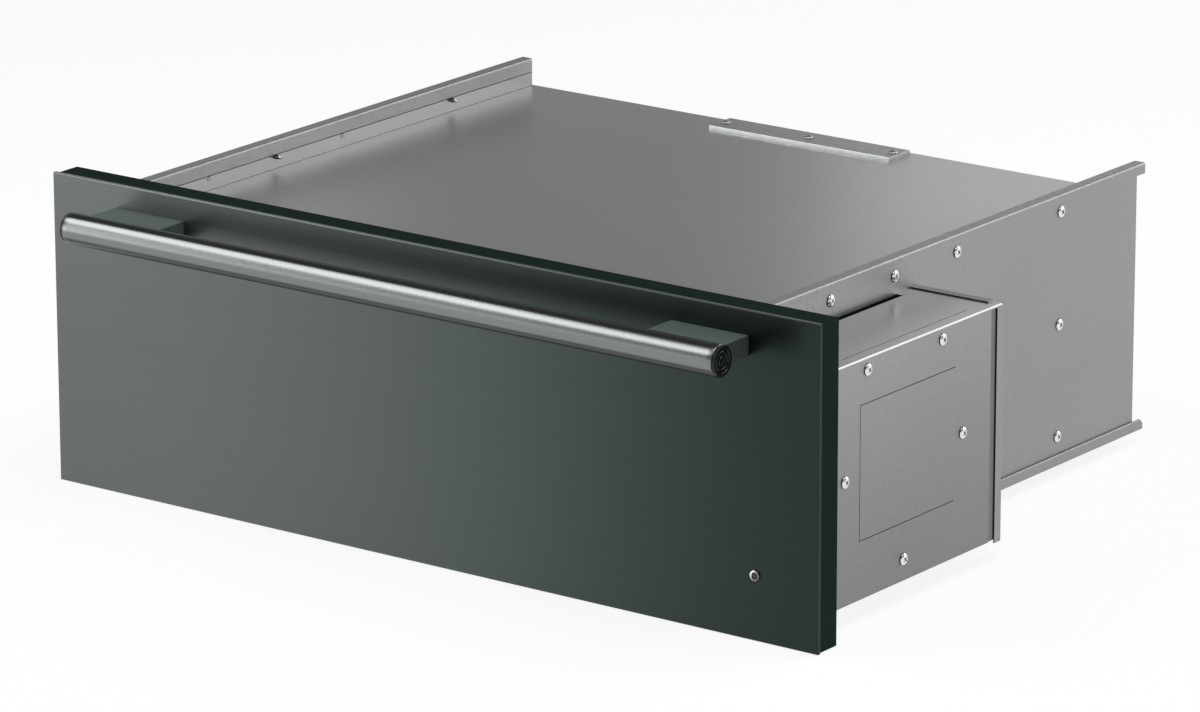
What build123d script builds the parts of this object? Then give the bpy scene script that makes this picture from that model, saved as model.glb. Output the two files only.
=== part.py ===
# Built-in warming drawer: a steel housing for a cabinet opening, a control box on its right side,
# and a drawer behind a wide front panel, carried on two ball slides.
# Millimetres. X runs to the viewer's right, Y into the cabinet, Z up. The origin is the middle of
# the cabinet opening, in the plane of the cabinet's face.
import os
from build123d import *

os.makedirs("parts", exist_ok=True)

# ---------------------------------------------------------------- driving dimensions
# Cabinet opening and housing
cutout_height = 235.0
bay_width = 636.0
control_width = 81.6
chassis_height = 228.6
chassis_depth = 571.5
wall_sheet = 1.0
bend_radius = 1.6
lip_width = 11.5
hem_drop = 12.0
top_plate_drop = 23.8
rear_tab_reach = 12.5
rear_tab_height = 9.0
tray_sheet = 1.2
tray_edge_height = 8.8
tray_edge_thickness = 2.3
tray_corner_cut = 4.0
tray_start_gap = 5.2
back_flange = 8.0

# Front frame, screwed to the cabinet's face
frame_sheet = 1.5
frame_overlap_x = 14.2
frame_overlap_z = 7.0
frame_corner = 3.0
cabinet_screw_inset_x = 5.6
cabinet_screw_inset_z = 29.5
cabinet_hole_radius = 2.25

# Cavity
liner_sheet = 0.8
liner_depth = 440.0
liner_corner = 6.0
floor_insulation = 14.0
top_insulation = 12.7
bulkhead_y = 464.0
bulkhead_flange = 14.0

# Screws of the side walls
wall_screw_first_y = 129.6
wall_screw_pitch_y = 88.0
wall_screw_row = 3
wall_screw_drop = 14.3
wall_screw_pitch_z = 95.3
screw_head_radius = 4.2
screw_head_height = 2.6
screw_rim_share = 0.45
screw_dome_angle = 42.0
screw_shank_radius = 1.9
long_screw_length = 18.0
short_screw_length = 9.0

# Anti-tip bracket on the top plate
bracket_depth = 31.0
bracket_thickness = 3.2
bracket_edge_radius = 0.6
bracket_offset_x = 1.5
bracket_rear_margin = 3.0
bracket_screw_pitch = 86.3
bracket_end_margin = 6.7
bracket_screw_length = 9.0

# Control box
control_lift = 6.8
control_height = 192.5
control_sheet = 1.0
control_cover_depth = 232.0
control_lip = 2.2
control_lip_bend = 1.6
control_flange = 14.0
rear_cap_y = 249.3
rear_cap_flange = 8.8
rear_cap_drop = 2.8
rear_cap_rise = 1.0
side_slot_width = 6.8
side_slot_start_y = 12.0
side_slot_end_y = 219.4
fine_slit_width = 0.8
fine_slit_inset = 11.4
fine_slit_start_y = 43.8
fine_slit_end_y = 214.7
cover_screw_centre_y = 113.0
cover_screw_edge_z = 10.2
cover_screw_top_half = 51.0
cover_screw_middle_half = 80.5
cover_screw_bottom_edge_z = 17.5
cover_screw_middle_lift = 3.5
pressed_start_y = 52.0
pressed_length = 130.0
pressed_top_z = 37.0
pressed_height = 108.5
pressed_line_width = 0.8
pressed_line_depth = 0.5
shell_turn_front = 42.0
shell_turn_rear = 60.0
shell_turn_bottom = 24.0
cable_slot_width = 4.0
cable_slot_height = 24.0
cable_slot_inset = 22.6

# Control board, what stands on it, and the terminal block
board_gap = 15.0
board_sheet = 1.6
board_start_y = 22.0
board_length = 168.0
board_height = 120.0
board_centre_z = -12.0
board_margin = 8.0
standoff_radius = 3.2
standoff_nut_height = 1.8
transformer_size = (30.0, 38.0, 34.0)
transformer_place = (31.0, 83.0)
relay_size = (16.0, 22.0, 28.0)
relay_place = (73.0, 88.0)
relay_pitch = 30.0
relay_count = 2
connector_size = (10.0, 30.0, 24.0)
connector_place = (139.0, 32.0)
fuse_size = (4.0, 46.0, 10.0)
fuse_place = (83.0, 23.0)
capacitor_radius = 8.0
capacitor_height = 26.0
capacitor_place = (26.0, 38.0)
small_capacitor_radius = 6.0
small_capacitor_height = 18.0
small_capacitor_place = (50.0, 44.0)
terminal_width = 40.0
terminal_depth = 20.0
terminal_height = 16.0
terminal_gap = 6.0
terminal_ways = 3
terminal_pitch = 12.0
terminal_pocket_width = 8.0
terminal_pocket_depth = 6.0
terminal_pocket_height = 12.0

# Keypad on the frame, behind the panel
keypad_width = 48.0
keypad_height = 118.0
keypad_corner = 3.0
keypad_centre_z = 12.0
keypad_thickness = 0.8
key_count = 5
key_pitch = 20.5
key_width = 34.0
key_height = 13.0
key_corner = 2.5
key_rise = 0.3

# Power inlet in the rear cap
inlet_centre_z = -40.0
inlet_bore_radius = 6.5
inlet_barrel_radius = 10.5
inlet_flange_radius = 14.0
inlet_flange_thickness = 4.0
inlet_length = 20.0
inlet_edge_radius = 1.2

# Front panel
panel_width = 755.65
panel_height = 260.35
panel_thickness = 25.4
panel_drop = 11.2
panel_gap = 3.0
skin_sheet = 1.2
skin_return = 3.5
skin_edge_radius = 0.7
body_inset_left = 3.8
body_inset_right = 0.3
body_sheet = 1.0
back_plate_sheet = 1.0
gasket_width = 10.0
gasket_margin = 3.0

# Handle
bar_radius = 12.7
bar_length = 643.2
bar_stand_off = 45.7
bar_drop = 27.45
rib_length = 472.0
rib_relief = 0.2
post_spacing = 553.0
post_width = 72.0
post_height = 16.2
post_edge_radius = 0.8
cap_thickness = 2.4
cap_inset = 0.2
cap_rim_radius = 0.7
cap_spigot_radius = 9.0
cap_spigot_length = 10.0
bolt_pitch = 40.0
bolt_radius = 3.0
bolt_head_radius = 5.0
bolt_head_height = 4.0
bolt_bite = 8.0

# Indicator light, level with the middle of the control box
indicator_x = 319.7
indicator_height = 52.2
bezel_radius = 5.2
bezel_rise = 1.6
bezel_barrel_radius = 3.8
bezel_barrel_reach = 2.0
lens_radius = 2.7
lens_recess = 0.7
lamp_radius = 2.5
lamp_flange_radius = 4.0
lamp_flange_rise = 0.8
lamp_nut_height = 1.5
lamp_length = 9.0

# Ball slides
slide_length = 430.0
slide_start_y = 3.0
slide_depth = 12.7
slide_centre_z = -22.0
rail_half_height = 22.5
middle_half_height = 17.7
runner_half_height = 12.9
slide_sheet = 1.2
slide_bend = 1.4
middle_web_depth = 3.6
rail_lip_depth = 11.6
runner_lip_depth = 7.2
cage_sheet = 0.6
cage_length = 150.0
cage_start_y = 140.0
cage_lip_length = 6.0
cage_web_gap = 0.5
ball_radius = 1.5
ball_count = 6
ball_margin = 10.0
slide_screw_radius = 1.6
slide_screw_head_radius = 3.2
slide_screw_head_height = 1.2
slide_screw_first_y = 40.0
slide_screw_pitch = 165.0
slide_screw_count = 3

# Drawer tub and rack
tub_sheet = 0.8
tub_depth = 412.0
tub_height = 129.0
tub_floor_lift = 32.0
tub_corner = 16.0
tub_floor_radius = 8.0
tub_rim_width = 8.0
tub_rim_drop = 5.0
tub_bead_count = 3
tub_bead_width = 16.0
tub_bead_length = 330.0
tub_bead_height = 1.6
tub_bead_slope = 30.0
tub_screw_spacing_x = 440.0
tub_screw_drop = 24.0
tub_screw_length = 6.0
rack_margin = 14.0
rack_height = 26.0
rack_frame_radius = 2.6
rack_wire_radius = 1.6
rack_wire_count = 19
rack_foot_inset = 60.0
rack_weld_overlap = 0.8

# Heating element, clips, probe and cut-out
element_radius = 3.2
element_lift = 14.0
element_bend = 26.0
element_terminal_x = 60.0
element_outer_x = 235.0
element_inner_x = 118.0
element_front_y = 60.0
element_mid_y = 285.0
element_back_y = 365.0
element_tail = 8.0
clip_sheet = 1.1
clip_length = 10.0
clip_foot_width = 26.0
clip_y = 165.0
probe_radius = 2.5
probe_reach = 8.0
probe_length = 52.0
probe_bend = 5.0
probe_x = 150.0
probe_z = -10.0
probe_flange_radius = 9.0
probe_flange_thickness = 1.0
cutout_disc_radius = 8.0
cutout_disc_height = 12.0
cutout_tab_length = 9.0
cutout_tab_thickness = 0.8
cutout_tab_width = 6.0
cutout_tab_half_pitch = 3.5
cutout_disc_x = -150.0

# Wiring
harness_radius = 2.5
harness_bend = 7.0
harness_z = 30.0
harness_wall_y = 222.0
harness_wall_offset = 6.2
harness_rear_y = 505.0
harness_slack = 1.0
harness_low_lift = 6.0
harness_dip = 14.0
harness_rise = 18.0
ribbon_sheet = 0.4
ribbon_width = 16.0
ribbon_run = 31.0
ribbon_bend = 2.0

# Vents of the back panel
vent_columns = 12
vent_rows = 3
vent_pitch_x = 40.0
vent_pitch_z = 16.0
vent_length = 28.0
vent_height = 4.0
vent_centre_z = 30.0

# Named clearances
fit = 0.15
saddle_fit = 0.05
hole_clearance = 0.25
seam = 0.25
gasket_gap = 0.3

# ---------------------------------------------------------------- planes and faces worked out from them
floor_z = -cutout_height / 2
chassis_width = bay_width + control_width
wall_left_x = -chassis_width / 2
wall_right_x = wall_left_x + bay_width
control_right_x = wall_right_x + control_width
bay_x = (wall_left_x + wall_right_x) / 2
wall_top_z = floor_z + chassis_height
wall_bottom_z = floor_z + tray_sheet
top_plate_z = wall_top_z - top_plate_drop
top_plate_under_z = top_plate_z - wall_sheet
hem_bottom_z = wall_top_z - hem_drop
wall_screw_z = wall_top_z - wall_screw_drop
column_y = bulkhead_y - bulkhead_flange / 2

liner_half = bay_width / 2 - lip_width
cavity_half = liner_half - liner_sheet
liner_under_z = floor_z + tray_sheet + floor_insulation + 2 * fit
cavity_floor_z = liner_under_z + liner_sheet
liner_over_z = top_plate_under_z - top_insulation - 2 * fit
cavity_top_z = liner_over_z - liner_sheet
cavity_height = cavity_top_z - cavity_floor_z
cavity_centre_z = (cavity_top_z + cavity_floor_z) / 2
liner_rear_y = liner_depth + liner_sheet

panel_back_y = -frame_sheet - panel_gap
panel_front_y = panel_back_y - panel_thickness
panel_bottom_z = floor_z - panel_drop
panel_top_z = panel_bottom_z + panel_height
panel_centre_z = (panel_bottom_z + panel_top_z) / 2
body_left_x = -panel_width / 2 + body_inset_left
body_right_x = panel_width / 2 - body_inset_right
body_width = body_right_x - body_left_x
body_x = (body_left_x + body_right_x) / 2
body_front_y = panel_front_y + skin_return
bar_y = panel_front_y - bar_stand_off
bar_z = panel_top_z - bar_drop

control_bottom_z = floor_z + control_lift
control_top_z = control_bottom_z + control_height
control_x = (wall_right_x + control_right_x) / 2
control_side_x = control_right_x - control_sheet
indicator_z = panel_bottom_z + indicator_height
cable_slot_x = wall_right_x + cable_slot_inset

tub_half = cavity_half - slide_depth
tub_bottom_z = cavity_floor_z + tub_floor_lift
tub_top_z = tub_bottom_z + tub_height
tub_rear_y = panel_back_y + tub_depth
element_z = cavity_floor_z + element_lift


# ---------------------------------------------------------------- shapes used by several pieces
def section_at(y):
    """The upright plane across the drawer at depth y; its sketches use X and Z."""
    return Plane(origin=(0, y, 0), x_dir=(1, 0, 0), z_dir=(0, -1, 0))


def facing(point, outward):
    """The plane of a seat at a point, looking out of the surface."""
    return Plane(origin=point, z_dir=outward)


def slab(x_span, y_span, z_span, mode=Mode.ADD):
    """A rectangular block between two corners."""
    spans = (x_span, y_span, z_span)
    middle = [(low + high) / 2 for low, high in spans]
    with Locations(tuple(middle)):
        Box(*[abs(high - low) for low, high in spans], mode=mode)


def pin(point, outward, radius, length, mode=Mode.ADD):
    """A round bar that starts on a seat and runs out of it."""
    with BuildSketch(facing(point, outward)) as disc:
        Circle(radius)
    extrude(disc.sketch, amount=length, mode=mode)


def bent_sheet(plane, points, sheet, side, length, bend=bend_radius):
    """A folded strip: its outer outline follows the points, its thickness lies on the given side."""
    with BuildSketch(plane) as profile:
        with BuildLine():
            FilletPolyline(*points, radius=bend)
            offset(amount=sheet, side=side)
        make_face()
    extrude(profile.sketch, amount=length)


def pan_screws(points, outward, length, head_radius=screw_head_radius, head_height=screw_head_height):
    """Pan-head screws, one solid each, with the undersides of their heads on the points."""
    for point in points:
        seat = facing(point, outward)
        rim_height = head_height * screw_rim_share
        pin(point, outward, head_radius, rim_height)
        with BuildSketch(seat.offset(rim_height)) as dome:
            Circle(head_radius)
        extrude(dome.sketch, amount=head_height - rim_height, taper=screw_dome_angle)
        pin(point, tuple(-value for value in outward), screw_shank_radius, length)


def screw_holes(points, outward, depth, radius=screw_shank_radius + hole_clearance):
    """Clearance holes through a sheet at the points."""
    for point in points:
        with Locations(facing(point, outward)):
            Hole(radius, depth)


def finish(builder, name):
    """Label a piece and write it."""
    builder.part.label = name
    export_step(builder.part, "parts/" + name + ".step")


# ---------------------------------------------------------------- base tray
# Floor sheet under both walls, its edges turned up outside them. The right edge starts behind the
# control box and both sheets of the edge run past the walls at the rear on that side.
tray_left_x = wall_left_x - fit - tray_edge_thickness
tray_right_x = wall_right_x + fit + tray_edge_thickness
tray_right_start_y = rear_cap_y + tray_start_gap
tray_edge_top_z = floor_z + tray_edge_height
tray_rear_y = chassis_depth + rear_tab_reach

with BuildPart() as base_tray:
    slab((tray_left_x, wall_right_x), (0, chassis_depth), (floor_z, wall_bottom_z))
    slab((wall_right_x, tray_right_x), (tray_right_start_y, tray_rear_y), (floor_z, wall_bottom_z))
    slab((tray_left_x, wall_left_x - fit), (0, chassis_depth), (floor_z, tray_edge_top_z))
    slab((wall_right_x + fit, tray_right_x), (tray_right_start_y, tray_rear_y), (floor_z, tray_edge_top_z))
    rear_edge = base_tray.faces().sort_by(Axis.Y)[-1].edges().filter_by(Axis.X).sort_by(Axis.Z)[-1]
    chamfer(rear_edge, tray_corner_cut)
    fillet(base_tray.edges().filter_by(Axis.Y).group_by(Axis.Z)[-1], tray_edge_thickness * 0.4)
finish(base_tray, "base_tray")

# ---------------------------------------------------------------- side walls
# Outer sheet, lip folded inwards along the top and a hem folded down from the lip. The right wall
# has a short tab at the rear.
wall_screw_ys = [wall_screw_first_y + wall_screw_pitch_y * step for step in range(wall_screw_row)]
wall_screw_ys.append(column_y)
column_zs = [wall_screw_z - wall_screw_pitch_z * step for step in (1, 2)]
sides = {"left": (wall_left_x, -1), "right": (wall_right_x, 1)}


def wall_screw_seats(x):
    """Seats on one wall's outer face: a row along the top flange and a column at the bulkhead."""
    row = [(x, y, wall_screw_z) for y in wall_screw_ys]
    return row, [(x, column_y, z) for z in column_zs]


for name, (x, sign) in sides.items():
    inner_x = x - sign * lip_width
    outline = [(x, wall_bottom_z), (x, wall_top_z), (inner_x, wall_top_z), (inner_x, hem_bottom_z)]
    tab_z = wall_top_z - rear_tab_height
    tab_outline = [(x, tab_z), (x, wall_top_z), (inner_x, wall_top_z), (inner_x, tab_z)]
    inside = Side.LEFT if sign > 0 else Side.RIGHT
    with BuildPart() as side_wall:
        bent_sheet(section_at(0), outline, wall_sheet, inside, -chassis_depth)
        if sign > 0:
            bent_sheet(section_at(chassis_depth), tab_outline, wall_sheet, inside, -rear_tab_reach)
            harness_seat = (x, harness_wall_y, harness_z)
            screw_holes([harness_seat], (1, 0, 0), wall_sheet, harness_radius + harness_slack)
        row, column = wall_screw_seats(x)
        screw_holes(row + column, (sign, 0, 0), wall_sheet)
    finish(side_wall, "side_wall_" + name)

    with BuildPart() as wall_screws:
        pan_screws(row, (sign, 0, 0), long_screw_length)
        pan_screws(column, (sign, 0, 0), short_screw_length)
    finish(wall_screws, "wall_screws_" + name)

# ---------------------------------------------------------------- top plate
# Its side flanges stand up to the hems of the walls and are flush with them. The rear edge turns down.
plate_left_x = wall_left_x + lip_width
plate_right_x = wall_right_x - lip_width
bracket_x = bay_x + bracket_offset_x
bracket_rear_y = chassis_depth - bracket_rear_margin
bracket_front_y = bracket_rear_y - bracket_depth
bracket_top_z = top_plate_z + bracket_thickness
bracket_half = bracket_screw_pitch + bracket_end_margin
bracket_screw_xs = [bracket_x + bracket_screw_pitch * step for step in (-1, 0, 1)]
bracket_screw_y = (bracket_front_y + bracket_rear_y) / 2

with BuildPart() as top_plate:
    flange_top_z = hem_bottom_z - seam
    plate_outline = [
        (plate_left_x, flange_top_z),
        (plate_left_x, top_plate_z),
        (plate_right_x, top_plate_z),
        (plate_right_x, flange_top_z),
    ]
    bent_sheet(section_at(0), plate_outline, wall_sheet, Side.RIGHT, -chassis_depth, wall_sheet / 2)
    down_flange_z = top_plate_under_z - back_flange
    slab(
        (plate_left_x, plate_right_x),
        (chassis_depth - wall_sheet, chassis_depth),
        (down_flange_z, top_plate_under_z),
    )
    for x, sign in sides.values():
        row, column = wall_screw_seats(x - sign * (lip_width - wall_sheet))
        screw_holes(row, (sign, 0, 0), wall_sheet + fit)
    seats = [(x, bracket_screw_y, top_plate_z) for x in bracket_screw_xs]
    screw_holes(seats, (0, 0, 1), wall_sheet)
finish(top_plate, "top_plate")

# ---------------------------------------------------------------- anti-tip bracket
# A flat bar on the rear edge of the top plate.
with BuildPart() as anti_tip_bracket:
    bracket_x_span = (bracket_x - bracket_half, bracket_x + bracket_half)
    slab(bracket_x_span, (bracket_front_y, bracket_rear_y), (top_plate_z, bracket_top_z))
    fillet(anti_tip_bracket.edges().group_by(Axis.Z)[-1], bracket_edge_radius)
    seats = [(x, bracket_screw_y, bracket_top_z) for x in bracket_screw_xs]
    screw_holes(seats, (0, 0, 1), bracket_thickness)
finish(anti_tip_bracket, "anti_tip_bracket")

with BuildPart() as anti_tip_screws:
    pan_screws(seats, (0, 0, 1), bracket_screw_length)
finish(anti_tip_screws, "anti_tip_screws")

# ---------------------------------------------------------------- front frame
drawer_opening = (2 * cavity_half, cavity_height)
frame_width = chassis_width + 2 * frame_overlap_x
frame_height = cutout_height + 2 * frame_overlap_z
cabinet_screw_spacing_x = frame_width - 2 * cabinet_screw_inset_x
cabinet_screw_spacing_z = frame_height - 2 * cabinet_screw_inset_z

with BuildPart() as front_frame:
    with BuildSketch(section_at(0)):
        RectangleRounded(frame_width, frame_height, frame_corner)
        with Locations((bay_x, cavity_centre_z)):
            RectangleRounded(*drawer_opening, liner_corner - liner_sheet, mode=Mode.SUBTRACT)
        with GridLocations(cabinet_screw_spacing_x, cabinet_screw_spacing_z, 2, 2):
            Circle(cabinet_hole_radius, mode=Mode.SUBTRACT)
        with Locations((indicator_x, indicator_z)):
            Circle(lamp_radius + hole_clearance, mode=Mode.SUBTRACT)
        with Locations((cable_slot_x, keypad_centre_z)):
            Rectangle(cable_slot_width, cable_slot_height, mode=Mode.SUBTRACT)
    extrude(amount=frame_sheet)
finish(front_frame, "front_frame")

# ---------------------------------------------------------------- cavity liner
probe_seat = (bay_x + probe_x, liner_depth, probe_z)
element_legs = [(bay_x + sign * element_terminal_x, liner_depth, element_z) for sign in (-1, 1)]

with BuildPart() as cavity_liner:
    with BuildSketch(section_at(0)):
        with Locations((bay_x, cavity_centre_z)):
            RectangleRounded(2 * liner_half, cavity_height + 2 * liner_sheet, liner_corner)
    extrude(amount=-liner_rear_y)
    with BuildSketch(section_at(0)):
        with Locations((bay_x, cavity_centre_z)):
            RectangleRounded(*drawer_opening, liner_corner - liner_sheet)
    extrude(amount=-liner_depth, mode=Mode.SUBTRACT)
    screw_holes(element_legs, (0, 1, 0), liner_sheet + fit, element_radius + hole_clearance)
    screw_holes([probe_seat], (0, 1, 0), liner_sheet + fit, probe_radius + hole_clearance)
finish(cavity_liner, "cavity_liner")

# ---------------------------------------------------------------- rear bulkhead and back panel
bulkhead_left_x = wall_left_x + wall_sheet + fit
bulkhead_right_x = wall_right_x - wall_sheet - fit
upright_low_z = wall_bottom_z + fit
upright_high_z = top_plate_under_z - fit
upright_height = upright_high_z - upright_low_z
harness_x = wall_right_x - harness_wall_offset
plan_low = Plane.XY.offset(upright_low_z)

with BuildPart() as rear_bulkhead:
    plan = [
        (bulkhead_left_x, bulkhead_y - bulkhead_flange),
        (bulkhead_left_x, bulkhead_y),
        (bulkhead_right_x, bulkhead_y),
        (bulkhead_right_x, bulkhead_y - bulkhead_flange),
    ]
    bent_sheet(plan_low, plan, wall_sheet, Side.RIGHT, upright_height)
    for x, sign in sides.values():
        row, column = wall_screw_seats(x - sign * wall_sheet)
        screw_holes(column, (sign, 0, 0), wall_sheet + 2 * fit)
    legs = [(x, bulkhead_y, z) for x, _, z in element_legs]
    screw_holes(legs, (0, 1, 0), wall_sheet, element_radius + hole_clearance)
    screw_holes([(probe_seat[0], bulkhead_y, probe_z)], (0, 1, 0), wall_sheet, probe_radius + hole_clearance)
    screw_holes([(harness_x, bulkhead_y, harness_z)], (0, 1, 0), wall_sheet, harness_radius + hole_clearance)
finish(rear_bulkhead, "rear_bulkhead")

back_y = chassis_depth - wall_sheet - fit
with BuildPart() as back_panel:
    plan = [
        (bulkhead_left_x, back_y - bulkhead_flange),
        (bulkhead_left_x, back_y),
        (bulkhead_right_x, back_y),
        (bulkhead_right_x, back_y - bulkhead_flange),
    ]
    bent_sheet(plan_low, plan, wall_sheet, Side.RIGHT, upright_height)
    with BuildSketch(section_at(back_y)):
        with Locations((bay_x, vent_centre_z)):
            with GridLocations(vent_pitch_x, vent_pitch_z, vent_columns, vent_rows):
                SlotOverall(vent_length, vent_height)
    extrude(amount=wall_sheet, mode=Mode.SUBTRACT)
finish(back_panel, "back_panel")

# ---------------------------------------------------------------- insulation round the cavity
slab_rear_y = liner_rear_y
harness_channel = (harness_z - harness_radius - harness_slack, harness_z + harness_radius + harness_slack)

for name, (x, sign) in sides.items():
    outer_x = x - sign * (wall_sheet + fit)
    inner_x = x - sign * (lip_width - fit)
    with BuildPart() as insulation_side:
        slab(
            (min(outer_x, inner_x), max(outer_x, inner_x)),
            (fit, slab_rear_y),
            (wall_bottom_z + fit, top_plate_under_z - fit),
        )
        if sign > 0:
            channel_start_y = harness_wall_y - harness_bend
            slab((inner_x, outer_x), (channel_start_y, slab_rear_y), harness_channel, Mode.SUBTRACT)
    finish(insulation_side, "insulation_" + name)

layers = {
    "insulation_floor": (wall_bottom_z + fit, liner_under_z - fit),
    "insulation_top": (liner_over_z + fit, top_plate_under_z - fit),
}
for name, z_span in layers.items():
    with BuildPart() as insulation_layer:
        slab((bay_x - liner_half, bay_x + liner_half), (fit, slab_rear_y), z_span)
    finish(insulation_layer, name)

back_half = bay_width / 2 - 2 * wall_sheet - 2 * fit
back_depth = bulkhead_y - liner_rear_y
disc_seat = (bay_x + cutout_disc_x, liner_rear_y + fit, cavity_centre_z)
with BuildPart() as insulation_back:
    slab(
        (bay_x - back_half, bay_x + back_half),
        (liner_rear_y + fit, bulkhead_y - wall_sheet - fit),
        (wall_bottom_z + fit, top_plate_under_z - fit),
    )
    legs = [(x, liner_rear_y, z) for x, _, z in element_legs]
    screw_holes(legs, (0, 1, 0), back_depth, element_radius + hole_clearance)
    probe_hole = [(probe_seat[0], liner_rear_y, probe_z)]
    screw_holes(probe_hole, (0, 1, 0), back_depth, probe_radius + hole_clearance)
    screw_holes([disc_seat], (0, 1, 0), back_depth, cutout_disc_radius + hole_clearance)
    channel_left_x = harness_x - harness_radius - harness_slack
    slab((channel_left_x, bay_x + back_half), (liner_rear_y, bulkhead_y), harness_channel, Mode.SUBTRACT)
    fillet(insulation_back.edges().filter_by(Axis.Z).group_by(Axis.Y)[-1], bend_radius)
    for x, sign in sides.values():
        row, column = wall_screw_seats(x)
        screw_holes(column, (sign, 0, 0), short_screw_length + screw_head_height)
finish(insulation_back, "insulation_back")

# ---------------------------------------------------------------- heating element and its clips
# One tube bent into two loops on each side of the middle, its tails through the rear of the cavity.
tail_y = bulkhead_y + element_tail
right_half = [
    (element_terminal_x, tail_y),
    (element_terminal_x, element_back_y),
    (element_outer_x, element_back_y),
    (element_outer_x, element_front_y),
    (element_inner_x, element_front_y),
    (element_inner_x, element_mid_y),
]
left_half = [(-x, y) for x, y in reversed(right_half)]
element_route = [(bay_x + x, y, element_z) for x, y in right_half + left_half]

with BuildPart() as heating_element:
    with BuildLine():
        FilletPolyline(*element_route, radius=element_bend)
    with BuildSketch(facing(element_route[0], (0, -1, 0))):
        Circle(element_radius)
    sweep()
finish(heating_element, "heating_element")

clip_xs = [bay_x + x for x in (-element_outer_x, -element_inner_x, element_inner_x, element_outer_x)]
with BuildPart() as element_clips:
    for x in clip_xs:
        with BuildSketch(section_at(clip_y)):
            with Locations((x, element_z)):
                Circle(element_radius + hole_clearance + clip_sheet)
            with Locations((x, cavity_floor_z + (element_z - cavity_floor_z) / 2)):
                Rectangle(2 * clip_sheet, element_z - cavity_floor_z)
            with Locations((x, cavity_floor_z + clip_sheet / 2)):
                Rectangle(clip_foot_width, clip_sheet)
            with Locations((x, element_z)):
                Circle(element_radius + hole_clearance, mode=Mode.SUBTRACT)
        extrude(amount=-clip_length)
finish(element_clips, "element_clips")

# ---------------------------------------------------------------- temperature probe and cut-out
probe_y = liner_depth - probe_reach
with BuildPart() as temperature_probe:
    with BuildLine():
        FilletPolyline(
            (probe_seat[0], bulkhead_y + element_tail, probe_z),
            (probe_seat[0], probe_y, probe_z),
            (probe_seat[0] - probe_length, probe_y, probe_z),
            radius=probe_bend,
        )
    with BuildSketch(facing((probe_seat[0], bulkhead_y + element_tail, probe_z), (0, -1, 0))):
        Circle(probe_radius)
    sweep()
    pin(probe_seat, (0, -1, 0), probe_flange_radius, probe_flange_thickness)
finish(temperature_probe, "temperature_probe")

with BuildPart() as thermal_cutout:
    pin(disc_seat, (0, 1, 0), cutout_disc_radius, cutout_disc_height)
    tab_y_span = (disc_seat[1] + cutout_disc_height, disc_seat[1] + cutout_disc_height + cutout_tab_length)
    tab_z_span = (disc_seat[2] - cutout_tab_width / 2, disc_seat[2] + cutout_tab_width / 2)
    for side in (-1, 1):
        tab_x = disc_seat[0] + side * cutout_tab_half_pitch
        slab((tab_x, tab_x + side * cutout_tab_thickness), tab_y_span, tab_z_span)
finish(thermal_cutout, "thermal_cutout")

# ---------------------------------------------------------------- control box
cap_front_y = rear_cap_y - control_sheet
shell_side_x = control_side_x
slot_x = wall_right_x + side_slot_width

with BuildPart() as control_box_shell:
    # front, top and bottom sheets with edges turned behind the cover; the top one ends in a lip above it
    shell_left_x = wall_right_x + fit
    top_z = control_top_z
    bottom_z = control_bottom_z
    slab((shell_left_x, control_right_x), (0, cap_front_y), (top_z - control_sheet, top_z))
    slab((shell_side_x, control_right_x), (0, cap_front_y), (top_z - control_lip, top_z))
    lip_edge = control_box_shell.edges().filter_by(Axis.Y).group_by(Axis.X)[-1].sort_by(Axis.Z)[-1]
    fillet(lip_edge, control_lip_bend)
    slab((shell_left_x, shell_side_x), (0, cap_front_y), (bottom_z, bottom_z + control_sheet))
    slab((shell_left_x, shell_side_x), (0, control_sheet), (bottom_z, top_z))
    edge_x_span = (shell_side_x - control_sheet, shell_side_x)
    slab(edge_x_span, (0, cap_front_y), (top_z - control_flange, top_z))
    slab(edge_x_span, (0, cap_front_y), (bottom_z, bottom_z + shell_turn_bottom))
    slab(edge_x_span, (0, shell_turn_front), (bottom_z, top_z))
    slab(edge_x_span, (control_cover_depth - shell_turn_rear, cap_front_y), (bottom_z, top_z))
    cover_screw_z = (top_z + bottom_z) / 2 + cover_screw_middle_lift
    slot_z_span = (top_z - 2 * control_sheet, top_z + control_sheet)
    slab((shell_left_x, slot_x), (side_slot_start_y, side_slot_end_y), slot_z_span, Mode.SUBTRACT)
    slit_x = control_right_x - fine_slit_inset
    slit_x_span = (slit_x - fine_slit_width / 2, slit_x + fine_slit_width / 2)
    slab(slit_x_span, (fine_slit_start_y, fine_slit_end_y), slot_z_span, Mode.SUBTRACT)
    lamp_hole = [(indicator_x, control_sheet, indicator_z)]
    screw_holes(lamp_hole, (0, 1, 0), control_sheet, lamp_radius + hole_clearance)
    with BuildSketch(section_at(0)):
        with Locations((cable_slot_x, keypad_centre_z)):
            Rectangle(cable_slot_width, cable_slot_height)
    extrude(amount=-control_sheet, mode=Mode.SUBTRACT)
    cover_seats = [
        (control_right_x, cover_screw_centre_y - cover_screw_top_half, top_z - cover_screw_edge_z),
        (control_right_x, cover_screw_centre_y + cover_screw_top_half, top_z - cover_screw_edge_z),
        (control_right_x, cover_screw_centre_y - cover_screw_middle_half, cover_screw_z),
        (control_right_x, cover_screw_centre_y + cover_screw_middle_half, cover_screw_z),
        (control_right_x, cover_screw_centre_y, bottom_z + cover_screw_bottom_edge_z),
    ]
    shell_seats = [(shell_side_x, y, z) for _, y, z in cover_seats]
    screw_holes(shell_seats, (1, 0, 0), control_sheet)
finish(control_box_shell, "control_box_shell")

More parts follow.
